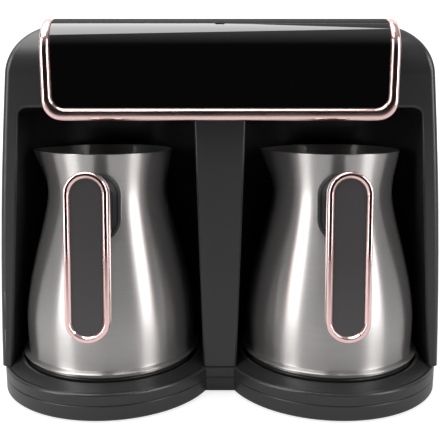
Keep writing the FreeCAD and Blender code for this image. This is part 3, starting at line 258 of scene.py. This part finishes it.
def smoked_window():
    finish, tree, shader = new_finish("smoked window", (0.02, 0.02, 0.022), 0.08)
    shader.inputs["Transmission Weight"].default_value = 0.6
    place = object_place(tree)
    haze = noise(tree, place, 220.0, 3.0)
    tree.links.new(ramp(tree, haze, 0.06, 0.2), shader.inputs["Roughness"])
    relief(tree, shader, noise(tree, place, 60.0, 1.0), 0.02 * MM, 0.3 * MM)
    return finish


panel_black = gloss_panel()
window_tint = smoked_window()
print("gloss black ready")

# %% [markdown]
# ## Rose-gold plating
#
# The trims are plated: a mirror of copper-pink metal. Plating mirrors its surroundings, so
# its finish needs little more than the right tint, a hint of polishing haze and soft
# edges. The small metal parts inside use the same graph with other tints and more haze.

# %% Plating, bright or dull
ROSE_GOLD = (0.95, 0.66, 0.64)


def plated(name, colour, roughness, haze=0.03, edge=0.5):
    """The round of the edges is in millimetres."""
    finish, tree, shader = new_finish(name, colour, roughness, 1.0)
    place = object_place(tree)
    cloud = noise(tree, place, 60.0, 4.0)
    tree.links.new(ramp(tree, cloud, roughness, roughness + haze), shader.inputs["Roughness"])
    dulled = tuple(c * 0.97 for c in colour)
    tree.links.new(tint(tree, cloud, dulled, colour), shader.inputs["Base Color"])
    relief(tree, shader, noise(tree, place, 900.0), 0.003 * MM, edge * MM)
    return finish


rose_plate = plated("rose-gold plating", ROSE_GOLD, 0.05, edge=2.0)
rose_ring = plated("rose-gold plating on the grips", ROSE_GOLD, 0.05, edge=0.9)
spring_wire = plated("spring wire", (0.55, 0.54, 0.53), 0.25)
zinc_plate = plated("zinc plating", (0.62, 0.62, 0.64), 0.28)
can_aluminium = plated("spun aluminium", (0.75, 0.75, 0.76), 0.3)
sensor_steel = plated("sensor cap steel", (0.60, 0.60, 0.60), 0.2)
element_steel = plated("heater sheath", (0.28, 0.26, 0.24), 0.38, haze=0.1)
print("metals and plating ready")

# %% [markdown]
# ## Turned and coated hot plates
#
# A hot plate is turned flat on a lathe before its black coating goes on, so fine rings
# show through the coat. The rings are noise on one number only: how far a point is from
# the middle of its plate.


# %% A black coat over the rings of the lathe
def turned_plate(name, centre):
    finish, tree, shader = new_finish(name, (0.012, 0.012, 0.012), 0.36)
    from_middle = distance(tree, place_about(tree, centre, upward=0.0))
    rings = noise(tree, from_middle, 2200.0)
    stain = noise(tree, object_place(tree), 45.0, 4.0)
    coat = tint(tree, stain, (0.010, 0.010, 0.010), (0.017, 0.016, 0.015))
    tree.links.new(coat, shader.inputs["Base Color"])
    tree.links.new(ramp(tree, stain, 0.3, 0.44, 0.1, 0.9), shader.inputs["Roughness"])
    relief(tree, shader, rings, 0.02 * MM, 0.5 * MM)
    return finish


plate_coat = {
    side: turned_plate(f"{side} heat-proof coating", place) for side, place in pot_places.items()
}
print("coated plates ready for", list(plate_coat))

# %% [markdown]
# ## Brushed steel
#
# The pots are spun from sheet and brushed while they turn, so fine scratches run round
# them. Such scratches smear a reflection across themselves: every lamp becomes an upright
# streak. The shader does this with anisotropy: its tangent runs round the pot's axis, and
# a quarter turn points the smear up and down.
#
# The scratches themselves are noise on the angle and the height. The angle counts for
# little, so each scratch runs a long way round. It is measured from the front, so that its
# seam lies behind.

# %% Where a point is on the unrolled sheet
TURN_WEIGHT = 0.001
QUARTER_TURN = 0.25


def unrolled(tree, centre):
    split = add_node(tree, "ShaderNodeSeparateXYZ")
    tree.links.new(place_about(tree, centre), split.inputs["Vector"])
    forward = maths(tree, "MULTIPLY", split.outputs["Y"], -1.0)
    angle = maths(tree, "ARCTAN2", split.outputs["X"], forward)
    sheet = add_node(tree, "ShaderNodeCombineXYZ")
    tree.links.new(maths(tree, "MULTIPLY", angle, TURN_WEIGHT), sheet.inputs["X"])
    tree.links.new(split.outputs["Z"], sheet.inputs["Z"])
    return sheet.outputs["Vector"]


print("angle weighs", TURN_WEIGHT / MM, "mm a radian")


# %% Steel brushed round an upright axis
def brushed_round(name, centre, colour, roughness, anisotropy):
    finish, tree, shader = new_finish(name, colour, roughness, 0.86)
    shader.inputs["Anisotropic"].default_value = anisotropy
    shader.inputs["Anisotropic Rotation"].default_value = QUARTER_TURN
    tangent = add_node(tree, "ShaderNodeTangent", direction_type="RADIAL", axis="Z")
    tree.links.new(tangent.outputs["Tangent"], shader.inputs["Tangent"])
    sheet = unrolled(tree, centre)
    scratches = noise(tree, sheet, 3600.0, 4.0)
    bands = noise(tree, sheet, 1700.0, 3.0)
    dark = tuple(c * 0.86 for c in colour)
    tree.links.new(tint(tree, bands, dark, colour), shader.inputs["Base Color"])
    gloss = ramp(tree, scratches, roughness - 0.02, roughness + 0.02)
    tree.links.new(gloss, shader.inputs["Roughness"])
    relief(tree, shader, scratches, 0.001 * MM, 0.3 * MM)
    return finish


pot_steel = {
    side: brushed_round(f"{side} pot brushed steel", place, (0.50, 0.482, 0.475), 0.34, 0.95)
    for side, place in pot_places.items()
}
print("brushed steel ready for", list(pot_steel))

# %% [markdown]
# ## Paint the measured pieces
#
# Most pieces keep the measured shape. Each gets the finish of the real one by its name,
# without the side that it is on. Steel and hot plates have a finish for each side, because
# their pattern runs round the axis of a pot.

# %% Choose a finish for every kind of piece
finish_of = {
    "base_tray": body_charcoal,
    "base_deck": body_charcoal,
    "rubber_feet": foot_black,
    "base_screws": zinc_plate,
    "front_housing": body_charcoal,
    "rear_cover": body_charcoal,
    "rear_screws": zinc_plate,
    "cord_gland": foot_black,
    "power_board": board_green,
    "head_carrier": inner_black,
    "panel_trim": rose_plate,
    "front_panel": panel_black,
    "top_cover": cover_charcoal,
    "control_board": board_green,
    "heating_element": element_steel,
    "plate_seal": silicone_grey,
    "thermostat": can_aluminium,
    "sensor_holder": inner_black,
    "sensor_spring": spring_wire,
    "plate_sensor": sensor_steel,
    "sensor_window": window_tint,
    "foam_sensor": inner_black,
    "button": button_black,
    "button_dome": silicone_grey,
    "handle_bracket": bracket_grey,
    "handle_grip": grip_black,
    "handle_trim": rose_ring,
    "handle_insert": soft_grey,
    "handle_screw": zinc_plate,
}
finish_by_side = {"pot_shell": pot_steel, "pot_base": pot_steel, "heating_plate": plate_coat}
print("kinds of piece:", len(finish_of) + len(finish_by_side))


# %% Give every measured piece its finish
def paint(piece, finish):
    piece.data.materials.clear()
    piece.data.materials.append(finish)


for name, piece in nodes.items():
    side, _, kind = name.partition("_")
    if side not in SIDES:
        paint(piece, finish_of[name])
    elif kind in finish_by_side:
        paint(piece, finish_by_side[kind][side])
    else:
        paint(piece, finish_of[kind])
print("painted", len(nodes), "pieces")

# %% [markdown]
# ## Tools for modelling
#
# Some pieces are remodelled by hand: a primitive goes to its place, and in edit mode its
# faces and edges are picked by where they are, then inset, extruded or bevelled. All is
# deselected first, because an operator acts on everything that is selected.


# %% Helpers that begin, pick, extrude and end
def begin(name):
    piece = bpy.context.object
    piece.name = piece.data.name = name
    bpy.ops.object.transform_apply(location=True, rotation=True, scale=True)
    bpy.ops.object.mode_set(mode="EDIT")
    return piece


def pick(piece, kind, test):
    """Selects the faces or edges whose middle passes the test, in metres from the origin."""
    bpy.ops.mesh.select_mode(type=kind)
    bpy.ops.mesh.select_all(action="DESELECT")
    bpy.ops.object.mode_set(mode="OBJECT")
    points = piece.data.vertices
    parts = piece.data.polygons if kind == "FACE" else piece.data.edges
    for part in parts:
        corners = [points[i].co for i in part.vertices]
        part.select = test(sum(corners, Vector()) / len(corners))
    bpy.ops.object.mode_set(mode="EDIT")


def extrude(up):
    bpy.ops.mesh.extrude_region_move(TRANSFORM_OT_translate={"value": (0.0, 0.0, up)})


def end(piece, smooth_angle=35):
    bpy.ops.mesh.select_all(action="SELECT")
    bpy.ops.mesh.normals_make_consistent(inside=False)
    bpy.ops.object.mode_set(mode="OBJECT")
    bpy.ops.object.shade_smooth_by_angle(angle=math.radians(smooth_angle))
    bpy.ops.object.select_all(action="DESELECT")
    return piece


bpy.ops.object.select_all(action="DESELECT")
print("modelling tools ready")

# %% [markdown]
# ## The spun pots
#
# A pot like this is one sheet of steel, spun to a belly and a flared mouth, with a bead
# rolled in at its foot. Its outline is a list of radii and heights above the plate. It
# passes through the real radii, and a curve between them (a Catmull-Rom segment) gives the
# rings in between.

# %% The outline of the pot, in millimetres above the plate
FOOT_RADIUS, BEAD_RADIUS = 48.4, 51.5
RIM_RADIUS, RIM_HEIGHT = 37.3, 118.8
BEAD = [(49.6, 2.0), (50.9, 2.2), (BEAD_RADIUS, 2.9), (50.9, 3.6), (49.4, 3.85), (48.5, 4.0),
        (FOOT_RADIUS, 4.5)]
BODY = [(48.9, 18.0), (48.4, 30.0), (45.7, 46.0), (41.4, 63.0), (37.0, 79.0), (33.7, 97.0),
        (RIM_RADIUS, RIM_HEIGHT)]
RINGS_A_SPAN = 3


def between(points, steps):
    """Rings through the points, with steps rings from each point to the next."""
    beyond = tuple(2 * b - a for a, b in zip(points[-2], points[-1]))
    ends = [points[0], *points, beyond]
    rings = []
    for span in zip(ends, ends[1:], ends[2:], ends[3:]):
        for step in range(1, steps + 1):
            t = step / steps
            rings.append(tuple(
                0.5 * (2 * b + (c - a) * t + (2 * a - 5 * b + 4 * c - d) * t**2
                       + (3 * b - a - 3 * c + d) * t**3)
                for a, b, c, d in zip(*span)
            ))
    return rings


outline = BEAD + between([BEAD[-1], *BODY], RINGS_A_SPAN)
print("rings up the pot:", len(outline))

# %% [markdown]
# ## Raising a pot ring by ring
#
# The work starts from a filled circle. Its face is extruded ring by ring up the outline,
# and each ring is resized about the pot's axis. The face that rides up as a lid is deleted
# at the mouth. What is left is the wall: the disc that closes the foot is its own piece.

# %% Raise the wall
POINTS_ROUND = 96


def raised_pot(side):
    place = pot_places[side]
    first_radius, first_height = outline[0]
    bpy.ops.mesh.primitive_circle_add(
        vertices=POINTS_ROUND, radius=first_radius * MM, fill_type="NGON",
        location=(place.x, place.y, place.z + first_height * MM),
    )
    pot = begin(f"{side}_spun_pot")
    for (radius, height), (next_radius, next_height) in zip(outline, outline[1:]):
        extrude(up=(next_height - height) * MM)
        scale = next_radius / radius
        bpy.ops.transform.resize(value=(scale, scale, 1.0), center_override=tuple(place))
    bpy.ops.mesh.delete(type="ONLY_FACE")
    return pot


print("a pot has", POINTS_ROUND, "points round")

# %% [markdown]
# ## Spout and sheet
#
# The spout is pulled: the leftmost point of the rim is moved out with a soft falloff, just
# as a roller does it. Only then does the sheet get its thickness, and its lip a small round.

# %% Pull the spout
SPOUT_PULL, SPOUT_SPREAD = 4.7, 21.0  # millimetres
SPOUT_TURN = {"left": 0.9, "right": -2.3}  # degrees from straight left


def pull_spout(pot, side):
    turn = math.radians(SPOUT_TURN[side])
    toward = Vector((-math.cos(turn), -math.sin(turn), 0.0))
    tip = pot_places[side] + toward * (RIM_RADIUS * MM) + Vector((0, 0, RIM_HEIGHT * MM))
    bpy.ops.mesh.select_mode(type="VERT")
    bpy.ops.mesh.select_all(action="DESELECT")
    bpy.ops.object.mode_set(mode="OBJECT")
    nearest = min(pot.data.vertices, key=lambda v: (v.co - tip).length)
    nearest.select = True
    bpy.ops.object.mode_set(mode="EDIT")
    bpy.ops.transform.translate(
        value=toward * (SPOUT_PULL * MM), use_proportional_edit=True,
        proportional_edit_falloff="SMOOTH", proportional_size=SPOUT_SPREAD * MM,
    )


print("spouts are pulled", SPOUT_PULL, "mm")

# %% Give the sheet its thickness and finish both pots
WALL, LIP_ROUND = 0.8, 0.22  # millimetres
SHEET_STEPS = (
    ("SOLIDIFY", {"thickness": WALL * MM, "offset": -1.0, "use_even_offset": True}),
    ("BEVEL", {"width": LIP_ROUND * MM, "segments": 2, "limit_method": "ANGLE",
               "angle_limit": math.radians(60)}),
    ("SUBSURF", {"levels": 1, "render_levels": 1}),
)


def sheet_thickness(pot):
    bpy.context.view_layer.objects.active = pot
    for kind, settings in SHEET_STEPS:
        step = pot.modifiers.new(kind.lower(), kind)
        for key, value in settings.items():
            setattr(step, key, value)
        bpy.ops.object.modifier_apply(modifier=step.name)


for side in SIDES:
    pot = raised_pot(side)
    pull_spout(pot, side)
    end(pot, smooth_angle=50)
    sheet_thickness(pot)
    paint(pot, pot_steel[side])
    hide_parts(f"{side}_pot_shell")
    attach(pot, f"{side}_pot")
    print(pot.name, len(pot.data.polygons), "faces")

# %% [markdown]
# ## Cross-head screws
#
# The back and the underside are held by small screws with a cross in the head. Copies of
# one model go to every hole. The holes are found from the measured screws, which are told
# apart by the gaps between them.

# %% Find the separate solids of a measured piece
LEAST_GAP = 8 * MM


def clusters(node):
    """The low and high corners of each of the piece's solids."""
    boxes = []
    for vertex in nodes[node].data.vertices:
        point = vertex.co
        for low, high in boxes:
            if all(low[i] - LEAST_GAP < point[i] < high[i] + LEAST_GAP for i in range(3)):
                for i in range(3):
                    low[i], high[i] = min(low[i], point[i]), max(high[i], point[i])
                break
        else:
            boxes.append((point.copy(), point.copy()))
    return boxes


rear_boxes, base_boxes = clusters("rear_screws"), clusters("base_screws")
print("screws behind:", len(rear_boxes), "below:", len(base_boxes))

# %% [markdown]
# ## One screw
#
# The screw is modelled at the origin: the face of a short cylinder is inset and extruded
# into the shank, the rim of the head is rounded, and two crossed bars are cut out of it.

# %% Model one screw
HEAD_RADIUS, SHANK_RADIUS = 3.1 * MM, 1.4 * MM
ROUND_SHARE = 0.35  # of the head's thickness
CROSS_SPAN, CROSS_WIDTH = 1.15, 0.26  # of the head's radius
CROSS_DEPTH = 0.6  # of the head's thickness
NEAR = 0.01  # of the head's thickness
SCREW_POINTS = 48


def screw_at_origin(name, head_thick, length):
    """Its face lies at z = 0 and looks down, its shank runs up."""
    bpy.ops.mesh.primitive_cylinder_add(
        vertices=SCREW_POINTS, radius=HEAD_RADIUS, depth=head_thick,
        location=(0, 0, head_thick / 2),
    )
    screw = begin(name)
    pick(screw, "FACE", lambda c: c.z > head_thick * (1 - NEAR))
    bpy.ops.mesh.inset(thickness=HEAD_RADIUS - SHANK_RADIUS)
    extrude(up=length - head_thick)
    pick(screw, "EDGE", lambda c: c.z < head_thick * NEAR)
    bpy.ops.mesh.bevel(offset=head_thick * ROUND_SHARE, segments=3, affect="EDGES")
    return end(screw)


def cut_cross(screw, head_thick):
    """Takes two crossed bars, centred on the face, out of the head."""
    for turn in (0, 90):
        bpy.ops.mesh.primitive_cube_add(size=1.0, rotation=(0, 0, math.radians(turn)))
        bar = bpy.context.object
        bar.scale = (
            HEAD_RADIUS * CROSS_SPAN, HEAD_RADIUS * CROSS_WIDTH, head_thick * CROSS_DEPTH * 2
        )
        cut = screw.modifiers.new("cross", "BOOLEAN")
        cut.operation, cut.object = "DIFFERENCE", bar
        bpy.context.view_layer.objects.active = screw
        bpy.ops.object.modifier_apply(modifier=cut.name)
        bpy.data.objects.remove(bar)


print("screw heads are", round(2 * HEAD_RADIUS / MM, 1), "mm wide")


# %% Copy a model to many places and join the copies
def spread(model, places, turn=(0.0, 0.0, 0.0)):
    """Copies the model to each place, turned, and joins the copies into one piece."""
    bpy.ops.object.select_all(action="DESELECT")
    name = model.name
    copies = []
    for place in places:
        copy = model.copy()
        copy.data = model.data.copy()
        bpy.context.scene.collection.objects.link(copy)
        copy.location, copy.rotation_euler = place, turn
        copy.select_set(True)
        copies.append(copy)
    bpy.data.objects.remove(model)
    bpy.context.view_layer.objects.active = copies[0]
    bpy.ops.object.join()
    bpy.ops.object.transform_apply(location=True, rotation=True, scale=True)
    copies[0].name = copies[0].data.name = name
    bpy.ops.object.select_all(action="DESELECT")
    return copies[0]


print("copying tool ready")

# %% Put the screws in
REAR_HEAD, BASE_HEAD = 2.0 * MM, 1.2 * MM  # thickness
rear_places = [((lo.x + hi.x) / 2, hi.y, (lo.z + hi.z) / 2) for lo, hi in rear_boxes]
base_places = [((lo.x + hi.x) / 2, (lo.y + hi.y) / 2, lo.z) for lo, hi in base_boxes]
rear_length = rear_boxes[0][1].y - rear_boxes[0][0].y
base_length = base_boxes[0][1].z - base_boxes[0][0].z
for name, head_thick, length, places, turn in (
    ("rear_screws", REAR_HEAD, rear_length, rear_places, (math.radians(90), 0, 0)),
    ("base_screws", BASE_HEAD, base_length, base_places, (0, 0, 0)),
):
    model = screw_at_origin(f"cross_{name}", head_thick, length)
    cut_cross(model, head_thick)
    screws = spread(model, places, turn)
    paint(screws, zinc_plate)
    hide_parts(name)
    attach(screws, "machine")
    print(screws.name, "at", len(places), "holes,", len(screws.data.polygons), "faces")

# %% [markdown]
# ## Rubber feet
#
# Each foot is a disc of rubber pressed into a pocket. Its lower rim is rounded and its
# sole is dished, so that it grips like a shallow suction cup.

# %% Model one foot and copy it to its pockets
SOLE_RIM, DISH_SLOPE, DISH_DEPTH = 1.6 * MM, 0.5 * MM, 0.45 * MM
FOOT_ROUND = 0.5 * MM
SOLE_HEIGHT = 0.01 * MM  # what lies lower belongs to the sole
OUTER_SHARE = 0.95  # of the radius: edges beyond it belong to the outer rim
FOOT_POINTS = 72
foot_boxes = clusters("rubber_feet")
foot_low, foot_high = foot_boxes[0]
foot_radius = (foot_high.x - foot_low.x) / 2
bpy.ops.mesh.primitive_cylinder_add(
    vertices=FOOT_POINTS, radius=foot_radius, depth=foot_high.z,
    location=(0, 0, foot_high.z / 2),
)
foot = begin("dished_rubber_feet")
pick(foot, "FACE", lambda c: c.z < SOLE_HEIGHT)
bpy.ops.mesh.inset(thickness=SOLE_RIM)
bpy.ops.mesh.inset(thickness=DISH_SLOPE)
extrude(up=DISH_DEPTH)
pick(
    foot, "EDGE",
    lambda c: c.z < SOLE_HEIGHT and math.hypot(c.x, c.y) > foot_radius * OUTER_SHARE,
)
bpy.ops.mesh.bevel(offset=FOOT_ROUND, segments=4, affect="EDGES")
end(foot)
feet = spread(foot, [((lo.x + hi.x) / 2, (lo.y + hi.y) / 2, 0.0) for lo, hi in foot_boxes])
paint(feet, foot_black)
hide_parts("rubber_feet")
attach(feet, "machine")
print(feet.name, "at", len(foot_boxes), "pockets")

# %% [markdown]
# ## Camera
#
# The camera stands where the photographer stood: in front, a little above the pots'
# rims, looking down about ten degrees, close enough that the machine's sides splay.

# %% Place the camera
FOCAL_PIXELS, PICTURE_PIXELS = 675.0, 440.0
SENSOR_WIDTH = 36.0  # millimetres
CAMERA_TO_POTS, CAMERA_HEIGHT = 0.388, 0.169  # metres
CAMERA_DIP = 10.6  # degrees
camera_data = bpy.data.cameras.new("camera")
camera = bpy.data.objects.new("camera", camera_data)
bpy.context.scene.collection.objects.link(camera)
camera_data.sensor_width = SENSOR_WIDTH
camera_data.lens = FOCAL_PIXELS / PICTURE_PIXELS * SENSOR_WIDTH
camera_data.clip_start = 0.01
camera.location = (0.0, pot_places["left"].y - CAMERA_TO_POTS, CAMERA_HEIGHT)
camera.rotation_euler = (math.radians(90 - CAMERA_DIP), 0.0, 0.0)
bpy.context.scene.camera = camera
print("camera at", tuple(round(v, 3) for v in camera.location))

# %% [markdown]
# ## Floor and backdrop
#
# Two large pale sheets stand round the machine. To the camera they glow, and the glow
# rises to white away from the machine, so the ground of the picture is white with only a
# trace of shadow. In metal and glass the floor glows far less, which keeps the steel grey.

# %% Lay the sheets
REACH = 4.0  # metres to the sides, forward and up
BACKDROP_Y = 1.6
LIT_NEAR, WHITE_FROM = 0.4, 1.4  # metres from the machine


def pale_sheet(name, corners):
    mesh = bpy.data.meshes.new(name)
    mesh.from_pydata(corners, [], [(0, 1, 2, 3)])
    sheet = bpy.data.objects.new(name, mesh)
    bpy.context.scene.collection.objects.link(sheet)
    return sheet


back_edge = [(REACH, BACKDROP_Y, 0), (-REACH, BACKDROP_Y, 0)]
floor = pale_sheet("floor", [(-REACH, -REACH, 0), (REACH, -REACH, 0), *back_edge])
backdrop = pale_sheet(
    "backdrop", [*reversed(back_edge), (REACH, BACKDROP_Y, REACH), (-REACH, BACKDROP_Y, REACH)]
)
print("sheets laid")


# %% Paint the sheets
def studio_white(name, albedo, mirrored, seen):
    """Mirrored is its glow in metal and glass, and seen its glow to the camera close to
    the machine, which rises to white far from it."""
    finish, tree, shader = new_finish(name, (albedo, albedo, albedo), 0.9)
    shown = ramp(tree, distance(tree, object_place(tree)), seen, 1.0, LIT_NEAR, WHITE_FROM)
    rays = add_node(tree, "ShaderNodeLightPath").outputs
    direct = maths(tree, "MAXIMUM", rays["Is Camera Ray"], rays["Is Transmission Ray"])
    to_camera = maths(tree, "MULTIPLY", direct, shown)
    glow = add_node(tree, "ShaderNodeEmission")
    strength = maths(tree, "MULTIPLY_ADD", rays["Is Glossy Ray"], mirrored, to_camera)
    tree.links.new(strength, glow.inputs["Strength"])
    both = add_node(tree, "ShaderNodeAddShader")
    tree.links.new(shader.outputs[0], both.inputs[0])
    tree.links.new(glow.outputs[0], both.inputs[1])
    tree.links.new(both.outputs[0], tree.nodes["Material Output"].inputs["Surface"])
    return finish


paint(floor, studio_white("pale table", albedo=0.45, mirrored=0.2, seen=0.78))
paint(backdrop, studio_white("white backdrop", albedo=0.8, mirrored=0.9, seen=0.9))
print("sheets painted")

# %% [markdown]
# ## Lamps
#
# Two tall softboxes stand left and right of the camera, and their strips of light run down
# the brushed pots. A bigger one hangs overhead. It is turned about the vertical, so that
# its mirrored edge crosses the top of the panel as a long wedge of light.

# %% Hang the softboxes
OVERHEAD_X, OVERHEAD_Y, OVERHEAD_Z = -0.30, -0.09, 1.0
OVERHEAD_TURN = 35  # degrees
STRIP_X, STRIP_Y, STRIP_Z = 0.84, -0.56, 0.45
STRIP_AIM = (0, 0, 0.1)


def softbox(name, place, aim, width, height, power):
    data = bpy.data.lights.new(name, "AREA")
    data.shape = "RECTANGLE"
    data.size, data.size_y = width, height
    data.energy = power
    lamp = bpy.data.objects.new(name, data)
    bpy.context.scene.collection.objects.link(lamp)
    lamp.location = place
    lamp.rotation_euler = (Vector(aim) - Vector(place)).to_track_quat("-Z", "Y").to_euler()
    return lamp


overhead = softbox(
    "overhead softbox", (OVERHEAD_X, OVERHEAD_Y, OVERHEAD_Z), (OVERHEAD_X, OVERHEAD_Y, 0),
    width=0.92, height=0.72, power=9.4,
)
overhead.rotation_euler.z = math.radians(OVERHEAD_TURN)
for side, sign in SIDES.items():
    softbox(
        f"{side} strip softbox", (STRIP_X * sign, STRIP_Y, STRIP_Z), STRIP_AIM,
        width=0.40, height=0.9, power=6.6,
    )

# %% [markdown]
# ## The room
#
# Behind the camera a studio is dark, which is why the gloss panel looks black, while its
# side walls are pale and its ceiling is paler. The world is that room: white to the
# camera, and to everything else a grey that depends on the direction it is seen in.

# %% The room as the world
DARK_WALL, PALE_WALL = 0.012, 0.24
WALL_SPAN = (-0.93, -0.3)  # the y of a direction where the walls turn from dark to pale
CEILING = 0.2
CEILING_SPAN = (0.45, 0.9)  # the z of a direction where the ceiling sets in


def studio_room():
    world = bpy.data.worlds.new("studio room")
    bpy.context.scene.world = world
    world.use_nodes = True
    tree = world.node_tree
    air = tree.nodes["Background"]
    air.inputs["Color"].default_value = (1.0, 1.0, 1.0, 1.0)
    direction = add_node(tree, "ShaderNodeTexCoord").outputs["Generated"]
    split = add_node(tree, "ShaderNodeSeparateXYZ")
    tree.links.new(direction, split.inputs["Vector"])
    walls = ramp(tree, split.outputs["Y"], DARK_WALL, PALE_WALL, *WALL_SPAN)
    ceiling = ramp(tree, split.outputs["Z"], 0.0, CEILING, *CEILING_SPAN)
    level = add_node(tree, "ShaderNodeMix", data_type="FLOAT")
    to_camera = add_node(tree, "ShaderNodeLightPath").outputs["Is Camera Ray"]
    tree.links.new(to_camera, level.inputs[0])
    tree.links.new(maths(tree, "ADD", walls, ceiling), level.inputs[MIX_A])
    level.inputs[MIX_B].default_value = 1.0
    tree.links.new(level.outputs[0], air.inputs["Strength"])


studio_room()
bpy.context.scene.view_settings.view_transform = "Standard"
print("studio lit")
